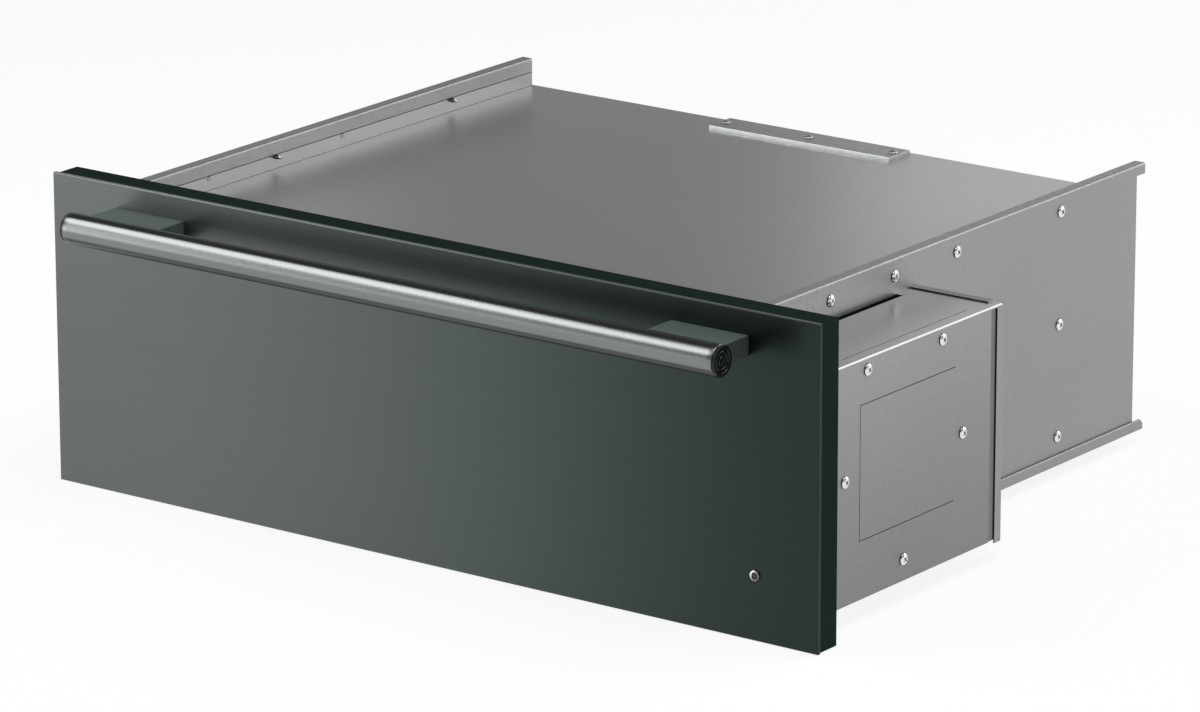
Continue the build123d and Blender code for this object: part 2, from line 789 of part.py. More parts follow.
with BuildPart() as control_box_cover:
    cover_top_z = top_z - control_lip - fit
    slab((control_side_x, control_right_x), (fit, control_cover_depth), (bottom_z, cover_top_z))
    pressed_end_y = pressed_start_y + pressed_length
    pressed_bottom_z = control_top_z - pressed_top_z - pressed_height
    pressed_high_z = control_top_z - pressed_top_z
    line_x_span = (control_right_x - pressed_line_depth, control_right_x)
    slab(
        line_x_span,
        (pressed_start_y, pressed_end_y),
        (pressed_high_z, pressed_high_z + pressed_line_width),
        Mode.SUBTRACT,
    )
    slab(
        line_x_span,
        (pressed_start_y, pressed_end_y),
        (pressed_bottom_z, pressed_bottom_z + pressed_line_width),
        Mode.SUBTRACT,
    )
    slab(
        line_x_span,
        (pressed_start_y, pressed_start_y + pressed_line_width),
        (pressed_bottom_z, pressed_high_z + pressed_line_width),
        Mode.SUBTRACT,
    )
    screw_holes(cover_seats, (1, 0, 0), control_sheet)
finish(control_box_cover, "control_box_cover")

with BuildPart() as control_cover_screws:
    pan_screws(cover_seats, (1, 0, 0), short_screw_length)
finish(control_cover_screws, "control_cover_screws")

inlet_seat = (control_x, rear_cap_y, inlet_centre_z)
with BuildPart() as control_box_rear_cap:
    cap_start_y = rear_cap_y - rear_cap_flange
    cap_low_z = bottom_z - rear_cap_drop
    cap_high_z = top_z + rear_cap_rise
    cap_x_span = (wall_right_x + fit, control_right_x)
    flange_x_span = (wall_right_x + fit, control_right_x - rear_cap_flange)
    slab(cap_x_span, (cap_front_y, rear_cap_y), (cap_low_z, top_z))
    slab(flange_x_span, (cap_front_y, rear_cap_y), (top_z, cap_high_z))
    slab(flange_x_span, (cap_start_y, rear_cap_y), (cap_high_z - control_sheet, cap_high_z))
    slab(flange_x_span, (cap_start_y, rear_cap_y), (cap_low_z, cap_low_z + control_sheet))
    slab((control_side_x, control_right_x), (cap_start_y, rear_cap_y), (cap_low_z, cover_top_z))
    rear_edges = control_box_rear_cap.edges().filter_by(Axis.X).group_by(Axis.Y)[-1]
    fillet(rear_edges.group_by(Axis.Z)[-1] + rear_edges.group_by(Axis.Z)[0], control_sheet * 0.8)
    screw_holes([inlet_seat], (0, 1, 0), control_sheet, inlet_barrel_radius + hole_clearance)
finish(control_box_rear_cap, "control_box_rear_cap")

with BuildPart() as power_inlet:
    pin(inlet_seat, (0, 1, 0), inlet_flange_radius, inlet_flange_thickness)
    fillet(power_inlet.faces().sort_by(Axis.Y)[-1].edges(), inlet_edge_radius)
    pin(inlet_seat, (0, -1, 0), inlet_barrel_radius, inlet_length - inlet_flange_thickness)
    nut_seat = (inlet_seat[0], cap_front_y, inlet_seat[2])
    pin(nut_seat, (0, -1, 0), inlet_flange_radius, inlet_flange_thickness)
    bore_start = (inlet_seat[0], rear_cap_y + inlet_flange_thickness, inlet_seat[2])
    pin(bore_start, (0, -1, 0), inlet_bore_radius, inlet_length, Mode.SUBTRACT)
finish(power_inlet, "power_inlet")

terminal_top_z = inlet_centre_z - inlet_flange_radius - terminal_gap
terminal_low_z = terminal_top_z - terminal_height
terminal_front_y = cap_front_y - terminal_depth
with BuildPart() as terminal_block:
    terminal_x_span = (control_x - terminal_width / 2, control_x + terminal_width / 2)
    slab(terminal_x_span, (terminal_front_y, cap_front_y), (terminal_low_z, terminal_top_z))
    for way in range(terminal_ways):
        pocket_x = control_x + (way - (terminal_ways - 1) / 2) * terminal_pitch
        slab(
            (pocket_x - terminal_pocket_width / 2, pocket_x + terminal_pocket_width / 2),
            (terminal_front_y, terminal_front_y + terminal_pocket_depth),
            (terminal_top_z - terminal_pocket_height, terminal_top_z),
            Mode.SUBTRACT,
        )
finish(terminal_block, "terminal_block")

# ---------------------------------------------------------------- control board, its parts and stand-offs
board_x = wall_right_x + board_gap
board_face_x = board_x + board_sheet
board_low_z = board_centre_z - board_height / 2
board_rear_y = board_start_y + board_length
board_corners = [
    (y, z)
    for y in (board_start_y + board_margin, board_rear_y - board_margin)
    for z in (board_low_z + board_margin, board_low_z + board_height - board_margin)
]


def on_board(place, size):
    """A block on the board: place is its middle along the board and up it, size its rise, width, height."""
    middle_y = board_start_y + place[0]
    middle_z = board_low_z + place[1]
    slab(
        (board_face_x, board_face_x + size[0]),
        (middle_y - size[1] / 2, middle_y + size[1] / 2),
        (middle_z - size[2] / 2, middle_z + size[2] / 2),
    )


with BuildPart() as control_board:
    slab((board_x, board_face_x), (board_start_y, board_rear_y), (board_low_z, board_low_z + board_height))
    screw_holes([(board_face_x, y, z) for y, z in board_corners], (1, 0, 0), board_sheet)
finish(control_board, "control_board")

with BuildPart() as board_standoffs:
    for y, z in board_corners:
        pin((wall_right_x, y, z), (1, 0, 0), standoff_radius, board_gap)
        pin((board_x, y, z), (1, 0, 0), screw_shank_radius, board_sheet)
        pin((board_face_x, y, z), (1, 0, 0), standoff_radius, standoff_nut_height)
finish(board_standoffs, "board_standoffs")

with BuildPart() as board_parts:
    on_board(transformer_place, transformer_size)
    for step in range(relay_count):
        on_board((relay_place[0] + step * relay_pitch, relay_place[1]), relay_size)
    on_board(connector_place, connector_size)
    on_board(fuse_place, fuse_size)
    capacitors = (
        (capacitor_place, capacitor_radius, capacitor_height),
        (small_capacitor_place, small_capacitor_radius, small_capacitor_height),
    )
    for place, radius, height in capacitors:
        seat = (board_face_x, board_start_y + place[0], board_low_z + place[1])
        pin(seat, (1, 0, 0), radius, height)
finish(board_parts, "board_parts")

# ---------------------------------------------------------------- keypad and indicator lamp
keypad_face_y = -frame_sheet - keypad_thickness
with BuildPart() as keypad:
    with BuildSketch(section_at(-frame_sheet)):
        with Locations((control_x, keypad_centre_z)):
            RectangleRounded(keypad_width, keypad_height, keypad_corner)
    extrude(amount=keypad_thickness)
    with BuildSketch(section_at(keypad_face_y)):
        with Locations((control_x, keypad_centre_z)):
            with GridLocations(key_pitch, key_pitch, 1, key_count):
                RectangleRounded(key_width, key_height, key_corner)
    extrude(amount=key_rise)
finish(keypad, "keypad")

with BuildPart() as indicator_lamp:
    pin((indicator_x, -frame_sheet, indicator_z), (0, 1, 0), lamp_radius, lamp_length)
    pin((indicator_x, control_sheet, indicator_z), (0, 1, 0), lamp_flange_radius, lamp_nut_height)
    pin((indicator_x, -frame_sheet, indicator_z), (0, -1, 0), lamp_flange_radius, lamp_flange_rise)
finish(indicator_lamp, "indicator_lamp")

# ---------------------------------------------------------------- wiring
# From the board through the right wall, along its insulation and across the rear compartment to the
# element's tails, a short run from the terminal block to the board, and the keypad's flat cable.
lead_x = board_x + board_sheet / 2
tail_right_x = bay_x + element_terminal_x
tail_left_x = bay_x - element_terminal_x
cross_z = element_z + harness_rise
lead_low_z = board_low_z + harness_low_lift
feed_x = control_x - terminal_pitch
feed_y = cap_front_y - terminal_depth / 2
feed_z = terminal_low_z - harness_dip
with BuildPart() as wiring_harness:
    with BuildLine():
        FilletPolyline(
            (lead_x, board_rear_y, harness_z),
            (lead_x, harness_wall_y, harness_z),
            (harness_x, harness_wall_y, harness_z),
            (harness_x, harness_rear_y, harness_z),
            (tail_right_x, harness_rear_y, harness_z),
            (tail_right_x, harness_rear_y, element_z),
            (tail_right_x, tail_y, element_z),
            radius=harness_bend,
        )
    with BuildSketch(facing((lead_x, board_rear_y, harness_z), (0, 1, 0))):
        Circle(harness_radius)
    sweep()
    with BuildLine():
        FilletPolyline(
            (tail_right_x, harness_rear_y, cross_z),
            (tail_left_x, harness_rear_y, cross_z),
            (tail_left_x, harness_rear_y, element_z),
            (tail_left_x, tail_y, element_z),
            radius=harness_bend,
        )
    with BuildSketch(facing((tail_right_x, harness_rear_y, cross_z), (-1, 0, 0))):
        Circle(harness_radius)
    sweep()
    with BuildLine():
        FilletPolyline(
            (feed_x, feed_y, terminal_low_z),
            (feed_x, feed_y, feed_z),
            (lead_x, feed_y, feed_z),
            (lead_x, feed_y, lead_low_z),
            (lead_x, board_rear_y, lead_low_z),
            radius=harness_bend * 0.8,
        )
    with BuildSketch(facing((feed_x, feed_y, terminal_low_z), (0, 0, -1))):
        Circle(harness_radius)
    sweep()
    ribbon_start_z = keypad_centre_z - ribbon_width / 2
    ribbon = [
        (cable_slot_x, -frame_sheet),
        (cable_slot_x, ribbon_run - frame_sheet),
        (board_face_x, ribbon_run - frame_sheet),
    ]
    bent_sheet(Plane.XY.offset(ribbon_start_z), ribbon, ribbon_sheet, Side.LEFT, ribbon_width, ribbon_bend)
finish(wiring_harness, "wiring_harness")


# ---------------------------------------------------------------- ball slides
def slide_x(sign, depth):
    """X at a depth measured from the cavity's side towards the drawer."""
    return bay_x + sign * (cavity_half - depth)


def slide_channel(sign, web_depth, lip_depth, half_height, sheet, length, bend=slide_bend):
    """A slide member: an upright web with a lip folded at its top and bottom."""
    web_x = slide_x(sign, web_depth)
    lip_x = slide_x(sign, lip_depth)
    outline = [
        (lip_x, slide_centre_z - half_height),
        (web_x, slide_centre_z - half_height),
        (web_x, slide_centre_z + half_height),
        (lip_x, slide_centre_z + half_height),
    ]
    side = Side.LEFT if (lip_depth - web_depth) * sign > 0 else Side.RIGHT
    bent_sheet(section_at(length[0]), outline, sheet, side, length[0] - length[1], bend)


def ball_cage(sign, web_depth, half_height):
    """A thin cage with a row of balls at its top and bottom."""
    y_span = (cage_start_y, cage_start_y + cage_length)
    lip_depth = web_depth + cage_lip_length
    reach_z = half_height + cage_sheet / 2
    slide_channel(sign, web_depth, lip_depth, reach_z, cage_sheet, y_span, cage_sheet * 1.5)
    ball_x = slide_x(sign, (web_depth + lip_depth) / 2)
    pitch = (cage_length - 2 * ball_margin) / (ball_count - 1)
    for row in (-1, 1):
        for step in range(ball_count):
            ball_y = cage_start_y + ball_margin + step * pitch
            with Locations((ball_x, ball_y, slide_centre_z + row * half_height)):
                Sphere(ball_radius)


slide_span = (slide_start_y, slide_start_y + slide_length)
outer_ball_z = (rail_half_height - slide_sheet + middle_half_height) / 2
inner_ball_z = (middle_half_height - slide_sheet + runner_half_height) / 2
outer_cage_depth = (slide_sheet + middle_web_depth - cage_sheet) / 2
inner_cage_depth = middle_web_depth + slide_sheet + cage_web_gap
slide_screw_ys = [slide_screw_first_y + step * slide_screw_pitch for step in range(slide_screw_count)]

for name, (x, sign) in sides.items():
    with BuildPart() as rail:
        slide_channel(sign, 0.0, rail_lip_depth, rail_half_height, slide_sheet, slide_span)
    finish(rail, "slide_rail_" + name)

    with BuildPart() as outer_cage:
        ball_cage(sign, outer_cage_depth, outer_ball_z)
    finish(outer_cage, "outer_ball_cage_" + name)

    with BuildPart() as middle:
        slide_channel(sign, middle_web_depth, rail_lip_depth, middle_half_height, slide_sheet, slide_span)
    finish(middle, "slide_middle_" + name)

    with BuildPart() as inner_cage:
        ball_cage(sign, inner_cage_depth, inner_ball_z)
    finish(inner_cage, "inner_ball_cage_" + name)

    with BuildPart() as runner:
        slide_channel(sign, slide_depth, runner_lip_depth, runner_half_height, slide_sheet, slide_span)
        seats = [(slide_x(sign, slide_depth), y, slide_centre_z) for y in slide_screw_ys]
        screw_holes(seats, (sign, 0, 0), slide_sheet, slide_screw_radius + hole_clearance)
    finish(runner, "slide_runner_" + name)

# ---------------------------------------------------------------- drawer tub and its screws
tub_centre_y = (panel_back_y + tub_rear_y) / 2
runner_seats = [
    (bay_x + sign * tub_half, y, slide_centre_z, sign)
    for sign in (-1, 1)
    for y in slide_screw_ys
]
tub_screw_z = tub_top_z - tub_screw_drop
tub_screw_xs = [bay_x + tub_screw_spacing_x * step / 2 for step in (-1, 0, 1)]

with BuildPart() as drawer_tub:
    with BuildSketch(Plane.XY.offset(tub_bottom_z)):
        with Locations((bay_x, tub_centre_y)):
            RectangleRounded(2 * tub_half, tub_depth, tub_corner)
    extrude(amount=tub_height)
    fillet(drawer_tub.faces().sort_by(Axis.Z)[0].edges(), tub_floor_radius)
    with BuildSketch(Plane.XY.offset(tub_top_z - tub_sheet)):
        with Locations((bay_x, tub_centre_y)):
            RectangleRounded(2 * (tub_half + tub_rim_width), tub_depth, tub_corner)
    extrude(amount=tub_sheet)
    with BuildSketch(Plane.XY.offset(tub_top_z - tub_rim_drop)):
        with Locations((bay_x, tub_centre_y)):
            RectangleRounded(2 * (tub_half + tub_rim_width), tub_depth, tub_corner)
            RectangleRounded(
                2 * (tub_half + tub_rim_width - tub_sheet), 2 * tub_depth, tub_corner, mode=Mode.SUBTRACT
            )
    extrude(amount=tub_rim_drop)
with BuildPart() as tub_hollow:
    with BuildSketch(Plane.XY.offset(tub_bottom_z + tub_sheet)):
        with Locations((bay_x, tub_centre_y)):
            RectangleRounded(2 * (tub_half - tub_sheet), tub_depth - 2 * tub_sheet, tub_corner - tub_sheet)
    extrude(amount=tub_height)
    fillet(tub_hollow.faces().sort_by(Axis.Z)[0].edges(), tub_floor_radius - tub_sheet)
with BuildPart() as drawer_tub_open:
    add(drawer_tub.part)
    add(tub_hollow.part, mode=Mode.SUBTRACT)
    bead_pitch = 2 * tub_half / (tub_bead_count + 1)
    with BuildSketch(Plane.XY.offset(tub_bottom_z + tub_sheet)):
        with Locations((bay_x, tub_centre_y)):
            with GridLocations(bead_pitch, 1.0, tub_bead_count, 1):
                SlotOverall(tub_bead_length, tub_bead_width, rotation=90)
    extrude(amount=tub_bead_height, taper=tub_bead_slope)
    for x, y, z, sign in runner_seats:
        screw_holes([(x, y, z)], (sign, 0, 0), tub_sheet, slide_screw_radius + hole_clearance)
    front_seats = [(x, panel_back_y + tub_sheet, tub_screw_z) for x in tub_screw_xs]
    screw_holes(front_seats, (0, 1, 0), tub_sheet + fit)
finish(drawer_tub_open, "drawer_tub")

with BuildPart() as runner_screws:
    for x, y, z, sign in runner_seats:
        inner_x = x - sign * tub_sheet
        pin((inner_x, y, z), (-sign, 0, 0), slide_screw_head_radius, slide_screw_head_height)
        pin((inner_x, y, z), (sign, 0, 0), slide_screw_radius, tub_sheet + 2 * slide_sheet)
finish(runner_screws, "runner_screws")

with BuildPart() as tub_screws:
    pan_screws(front_seats, (0, 1, 0), tub_screw_length)
finish(tub_screws, "tub_screws")

# ---------------------------------------------------------------- wire rack in the tub
rack_half_x = tub_half - tub_sheet - rack_margin
rack_half_y = tub_depth / 2 - tub_sheet - rack_margin
rack_z = tub_bottom_z + tub_sheet + rack_height
rack_floor_z = tub_bottom_z + tub_sheet + fit
rack_frame = [
    (bay_x - rack_half_x, tub_centre_y - rack_half_y),
    (bay_x + rack_half_x, tub_centre_y - rack_half_y),
    (bay_x + rack_half_x, tub_centre_y + rack_half_y),
    (bay_x - rack_half_x, tub_centre_y + rack_half_y),
]
with BuildPart() as wire_rack:
    with BuildLine():
        FilletPolyline(*[(x, y, rack_z) for x, y in rack_frame], radius=tub_corner, close=True)
    with BuildSketch(facing((bay_x, tub_centre_y - rack_half_y, rack_z), (1, 0, 0))):
        Circle(rack_frame_radius)
    sweep()
    wire_pitch = 2 * rack_half_x / (rack_wire_count + 1)
    for step in range(rack_wire_count):
        wire_x = bay_x - rack_half_x + wire_pitch * (step + 1)
        wire_start = (wire_x, tub_centre_y - rack_half_y, rack_z)
        pin(wire_start, (0, 1, 0), rack_wire_radius, 2 * rack_half_y)
    for sign in (-1, 1):
        brace_y = tub_centre_y + sign * (rack_half_y - rack_foot_inset)
        brace_z = rack_z - rack_wire_radius - rack_frame_radius + rack_weld_overlap
        pin((bay_x - rack_half_x, brace_y, brace_z), (1, 0, 0), rack_frame_radius, 2 * rack_half_x)
        for side in (-1, 1):
            foot_x = bay_x + side * (rack_half_x - rack_foot_inset)
            pin((foot_x, brace_y, rack_floor_z), (0, 0, 1), rack_frame_radius, brace_z - rack_floor_z)
finish(wire_rack, "wire_rack")

# ---------------------------------------------------------------- front panel
bolt_xs = [side * post_spacing / 2 + half * bolt_pitch / 2 for side in (-1, 1) for half in (-1, 1)]
bolt_places = [(x, bar_z) for x in bolt_xs]
panel_centre = (0, panel_centre_z)
body_centre = (body_x, panel_centre_z)
inner_front_y = body_front_y + body_sheet

with BuildPart() as front_skin:
    with BuildSketch(section_at(panel_front_y)):
        with Locations(panel_centre):
            Rectangle(panel_width, panel_height)
    extrude(amount=-skin_return)
    with BuildSketch(section_at(panel_front_y + skin_sheet)):
        with Locations(panel_centre):
            Rectangle(panel_width - 2 * skin_sheet, panel_height - 2 * skin_sheet)
    extrude(amount=-skin_return, mode=Mode.SUBTRACT)
    front_edges = front_skin.faces().sort_by(Axis.Y)[0].edges()
    fillet(front_edges, skin_edge_radius)
    bolt_holes = [(x, panel_front_y, z) for x, z in bolt_places]
    screw_holes(bolt_holes, (0, -1, 0), skin_sheet, bolt_radius + hole_clearance)
    bezel_hole = [(indicator_x, panel_front_y, indicator_z)]
    screw_holes(bezel_hole, (0, -1, 0), skin_sheet, bezel_barrel_radius + fit)
finish(front_skin, "front_skin")

with BuildPart() as front_body:
    # front wall tucked into the skin's return, then a box that carries on behind it
    with BuildSketch(section_at(panel_front_y + skin_sheet)):
        with Locations(panel_centre):
            Rectangle(panel_width - 2 * skin_sheet - 2 * fit, panel_height - 2 * skin_sheet - 2 * fit)
    extrude(amount=-(inner_front_y - panel_front_y - skin_sheet))
    with BuildSketch(section_at(body_front_y)):
        with Locations(body_centre):
            Rectangle(body_width, panel_height - 2 * fit)
    extrude(amount=body_front_y - panel_back_y)
    fillet(front_body.edges().filter_by(Axis.Y).group_by(Axis.X)[-1], bend_radius)
    fillet(front_body.edges().filter_by(Axis.Y).group_by(Axis.X)[0], bend_radius)
    with BuildSketch(section_at(inner_front_y)):
        with Locations(body_centre):
            Rectangle(body_width - 2 * body_sheet, panel_height - 2 * body_sheet - 2 * fit)
    extrude(amount=inner_front_y - panel_back_y, mode=Mode.SUBTRACT)
    wall = inner_front_y - panel_front_y
    body_bolts = [(x, inner_front_y, z) for x, z in bolt_places]
    screw_holes(body_bolts, (0, 1, 0), wall, bolt_radius + hole_clearance)
    body_bezel = [(indicator_x, inner_front_y, indicator_z)]
    screw_holes(body_bezel, (0, 1, 0), wall, bezel_barrel_radius + fit)
finish(front_body, "front_body")

plate_front_y = panel_back_y - back_plate_sheet
inner_width = body_width - 2 * body_sheet - 2 * fit
inner_height = panel_height - 2 * body_sheet - 4 * fit
with BuildPart() as front_insulation:
    with BuildSketch(section_at(inner_front_y + fit)):
        with Locations(body_centre):
            Rectangle(inner_width, inner_height)
    extrude(amount=-(plate_front_y - inner_front_y - 2 * fit))
    thickness = plate_front_y - inner_front_y
    pocket_seats = [(x, inner_front_y, z) for x, z in bolt_places]
    screw_holes(pocket_seats, (0, 1, 0), thickness, bolt_head_radius + hole_clearance)
    screw_holes(body_bezel, (0, 1, 0), thickness, bezel_barrel_radius + fit)
    screw_holes([(x, plate_front_y, tub_screw_z) for x in tub_screw_xs], (0, 1, 0), tub_screw_length)
finish(front_insulation, "front_insulation")

with BuildPart() as front_back_plate:
    with BuildSketch(section_at(plate_front_y)):
        with Locations(body_centre):
            Rectangle(inner_width, inner_height)
        with Locations((indicator_x, indicator_z)):
            Circle(lens_radius + hole_clearance, mode=Mode.SUBTRACT)
        with Locations(*[(x, tub_screw_z) for x in tub_screw_xs]):
            Circle(screw_shank_radius + hole_clearance, mode=Mode.SUBTRACT)
    extrude(amount=-back_plate_sheet)
finish(front_back_plate, "front_back_plate")

gasket_thickness = panel_gap - gasket_gap
with BuildPart() as drawer_gasket:
    inner_size = [length + 2 * gasket_margin for length in drawer_opening]
    outer_size = [length + 2 * gasket_width for length in inner_size]
    with BuildSketch(section_at(panel_back_y)):
        with Locations((bay_x, cavity_centre_z)):
            RectangleRounded(*outer_size, liner_corner + gasket_width)
            RectangleRounded(*inner_size, liner_corner, mode=Mode.SUBTRACT)
    extrude(amount=-gasket_thickness)
    fillet(drawer_gasket.faces().sort_by(Axis.Y)[-1].edges(), gasket_thickness * 0.45)
finish(drawer_gasket, "drawer_gasket")

# ---------------------------------------------------------------- handle
bar_half = bar_length / 2 - cap_thickness
with BuildPart() as handle_bar:
    pin((-bar_half, bar_y, bar_z), (1, 0, 0), bar_radius, 2 * bar_half)
    with BuildSketch(facing((-rib_length / 2, bar_y, bar_z), (1, 0, 0))):
        Circle(bar_radius + 1.0)
        Circle(bar_radius - rib_relief, mode=Mode.SUBTRACT)
    extrude(amount=rib_length, mode=Mode.SUBTRACT)
    for side in (-1, 1):
        seat = (side * bar_half, bar_y, bar_z)
        socket_depth = cap_spigot_length + fit
        pin(seat, (-side, 0, 0), cap_spigot_radius + fit, socket_depth, Mode.SUBTRACT)
    for x in bolt_xs:
        bolt_tip_y = bar_y + bar_radius - bolt_bite - hole_clearance
        pin((x, bolt_tip_y, bar_z), (0, 1, 0), bolt_radius + hole_clearance, 2 * bar_radius, Mode.SUBTRACT)
finish(handle_bar, "handle_bar")

for name, side in (("left", -1), ("right", 1)):
    post_x = side * post_spacing / 2
    with BuildPart() as post:
        x_span = (post_x - post_width / 2, post_x + post_width / 2)
        slab(x_span, (bar_y, panel_front_y), (bar_z - post_height / 2, bar_z + post_height / 2))
        fillet(post.edges().filter_by(Axis.Y), post_edge_radius)
        pin((x_span[0], bar_y, bar_z), (1, 0, 0), bar_radius + saddle_fit, post_width, Mode.SUBTRACT)
        for half in (-1, 1):
            bolt_x = post_x + half * bolt_pitch / 2
            pin((bolt_x, bar_y, bar_z), (0, 1, 0), bolt_radius + hole_clearance, bar_stand_off, Mode.SUBTRACT)
    finish(post, "handle_post_" + name)

    with BuildPart() as end_cap:
        seat = (side * bar_half, bar_y, bar_z)
        pin(seat, (side, 0, 0), bar_radius - cap_inset, cap_thickness)
        fillet(end_cap.edges().sort_by(Axis.X)[-1 if side > 0 else 0], cap_rim_radius)
        pin(seat, (-side, 0, 0), cap_spigot_radius, cap_spigot_length)
    finish(end_cap, "handle_cap_" + name)

with BuildPart() as handle_bolts:
    for x in bolt_xs:
        seat = (x, inner_front_y, bar_z)
        pin(seat, (0, 1, 0), bolt_head_radius, bolt_head_height)
        pin(seat, (0, -1, 0), bolt_radius, inner_front_y - bar_y - bar_radius + bolt_bite)
finish(handle_bolts, "handle_bolts")

# ---------------------------------------------------------------- indicator light in the panel
with BuildPart() as indicator_bezel:
    seat = (indicator_x, panel_front_y, indicator_z)
    pin(seat, (0, -1, 0), bezel_radius, bezel_rise)
    fillet(indicator_bezel.faces().sort_by(Axis.Y)[0].edges(), bezel_rise * 0.55)
    pin(seat, (0, 1, 0), bezel_barrel_radius, inner_front_y - panel_front_y + bezel_barrel_reach)
    bore_start = (indicator_x, panel_front_y - bezel_rise, indicator_z)
    pin(bore_start, (0, 1, 0), lens_radius + fit, panel_thickness, Mode.SUBTRACT)
finish(indicator_bezel, "indicator_bezel")

with BuildPart() as indicator_lens:
    lens_front_y = panel_front_y - bezel_rise + lens_recess
    pin((indicator_x, lens_front_y, indicator_z), (0, 1, 0), lens_radius, panel_back_y - lens_front_y)
    fillet(indicator_lens.faces().sort_by(Axis.Y)[0].edges(), lens_radius * 0.5)
finish(indicator_lens, "indicator_lens")
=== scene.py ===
# Built-in warming drawer, dressed on its CAD solids: sheet-steel housing with a control box on the
# right, a drawer on ball slides, and a wide brushed front with a round bar handle.
# Metres; X to the viewer's right, Y into the cabinet, Z up.
import math

import bmesh
import bpy
from mathutils import Matrix, Vector, noise


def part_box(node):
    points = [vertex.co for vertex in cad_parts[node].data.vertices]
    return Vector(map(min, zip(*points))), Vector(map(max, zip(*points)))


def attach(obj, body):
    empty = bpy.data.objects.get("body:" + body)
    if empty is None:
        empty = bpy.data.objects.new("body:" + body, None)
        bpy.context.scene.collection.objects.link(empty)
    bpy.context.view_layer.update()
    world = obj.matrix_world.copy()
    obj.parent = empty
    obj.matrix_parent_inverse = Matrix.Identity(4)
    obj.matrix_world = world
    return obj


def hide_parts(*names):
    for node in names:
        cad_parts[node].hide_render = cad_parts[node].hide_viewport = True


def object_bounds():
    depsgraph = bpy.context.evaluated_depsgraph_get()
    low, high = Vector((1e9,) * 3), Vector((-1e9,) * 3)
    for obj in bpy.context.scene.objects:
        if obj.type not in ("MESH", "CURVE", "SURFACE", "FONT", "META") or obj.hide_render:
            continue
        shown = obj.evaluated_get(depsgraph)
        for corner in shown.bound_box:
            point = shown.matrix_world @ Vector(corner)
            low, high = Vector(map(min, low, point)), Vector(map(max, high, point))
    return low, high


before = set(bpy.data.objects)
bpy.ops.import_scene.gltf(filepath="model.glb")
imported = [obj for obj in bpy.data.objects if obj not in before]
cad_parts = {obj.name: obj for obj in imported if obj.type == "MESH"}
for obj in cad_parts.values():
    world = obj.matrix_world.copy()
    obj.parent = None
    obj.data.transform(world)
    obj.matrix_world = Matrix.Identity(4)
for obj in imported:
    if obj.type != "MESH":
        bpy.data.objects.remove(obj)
cad_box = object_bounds()

# ---------------------------------------------------------------- camera
# A long lens from the front right, a little above the drawer, level with the studio floor. The
# picture is 1200 x 712, its width is the film width.
camera_place = (3.18709, -4.08319, 1.55199)
camera_turn = 0.63936
camera_tilt = -0.28503
camera_roll = -0.00201
film_width = 36.0
focal_length = 206.27

camera_data = bpy.data.cameras.new("studio_camera")
camera_data.sensor_fit = "HORIZONTAL"
camera_data.sensor_width = film_width
camera_data.lens = focal_length
camera_data.clip_end = 60.0
camera = bpy.data.objects.new("studio_camera", camera_data)
camera.matrix_world = (
    Matrix.Translation(camera_place)
    @ Matrix.Rotation(camera_turn, 4, "Z")
    @ Matrix.Rotation(math.pi / 2 + camera_tilt, 4, "X")
    @ Matrix.Rotation(camera_roll, 4, "Z")
)
bpy.context.scene.collection.objects.link(camera)
bpy.context.scene.camera = camera
bpy.context.scene.view_settings.view_transform = "Standard"

# ---------------------------------------------------------------- studio paper
# A wide dish of white paper: flat under the drawer, swept up all round. It is seen white by the
# eye and in the metal, and still takes the drawer's shadow.
paper_gap = 0.0006
paper_radius = 9.0
sweep_radius = 1.2
paper_wall = 1.7
paper_turns = 96
sweep_steps = 10
paper_dull = 0.90
paper_bright = 0.93
paper_glow = 0.86


def turned(profile, turns, closed=False):
    """Faces of a profile of (radius, height) points turned about Z."""
    points = []
    faces = []
    for radius, height in profile:
        for turn in range(turns):
            angle = 2 * math.pi * turn / turns
            points.append((radius * math.cos(angle), radius * math.sin(angle), height))
    for ring in range(len(profile) - 1):
        for turn in range(turns):
            after = (turn + 1) % turns
            low = ring * turns
            faces.append((low + turn, low + after, low + turns + after, low + turns + turn))
    if closed:
        faces.append(tuple(reversed(range(turns))))
        last = (len(profile) - 1) * turns
        faces.append(tuple(range(last, last + turns)))
    return points, faces


def piece_from(name, points, faces, smooth=True):
    """A new piece of the scene from its points and faces."""
    mesh = bpy.data.meshes.new(name)
    mesh.from_pydata(points, [], faces)
    mesh.polygons.foreach_set("use_smooth", [smooth] * len(mesh.polygons))
    mesh.update()
    made = bpy.data.objects.new(name, mesh)
    bpy.context.scene.collection.objects.link(made)
    return made


sweep = [(0.0005, 0.0), (paper_radius - sweep_radius, 0.0)]
for step in range(1, sweep_steps + 1):
    angle = math.pi / 2 * step / sweep_steps
    reach = paper_radius - sweep_radius + sweep_radius * math.sin(angle)
    sweep.append((reach, sweep_radius * (1 - math.cos(angle))))
sweep.append((paper_radius, paper_wall))
studio_paper = piece_from("studio_paper", *turned(sweep, paper_turns))
studio_paper.location.z = cad_box[0][2] - paper_gap


def new_finish(name, values):
    """A material; values that are the same all over sit on the shader's own sockets."""
    material = bpy.data.materials.new(name)
    material.use_nodes = True
    shader = material.node_tree.nodes["Principled BSDF"]
    for socket, value in values.items():
        shader.inputs[socket].default_value = value
    return material


def linked(material, source, socket):
    """Feeds one socket of the finish's shader."""
    shader = material.node_tree.nodes["Principled BSDF"]
    material.node_tree.links.new(source, shader.inputs[socket])


def combined(material, operation, first, second):
    """Two values worked into one; the second may be a plain number."""
    step = material.node_tree.nodes.new("ShaderNodeMath")
    step.operation = operation
    material.node_tree.links.new(first, step.inputs[0])
    if isinstance(second, float):
        step.inputs[1].default_value = second
    else:
        material.node_tree.links.new(second, step.inputs[1])
    return step.outputs[0]


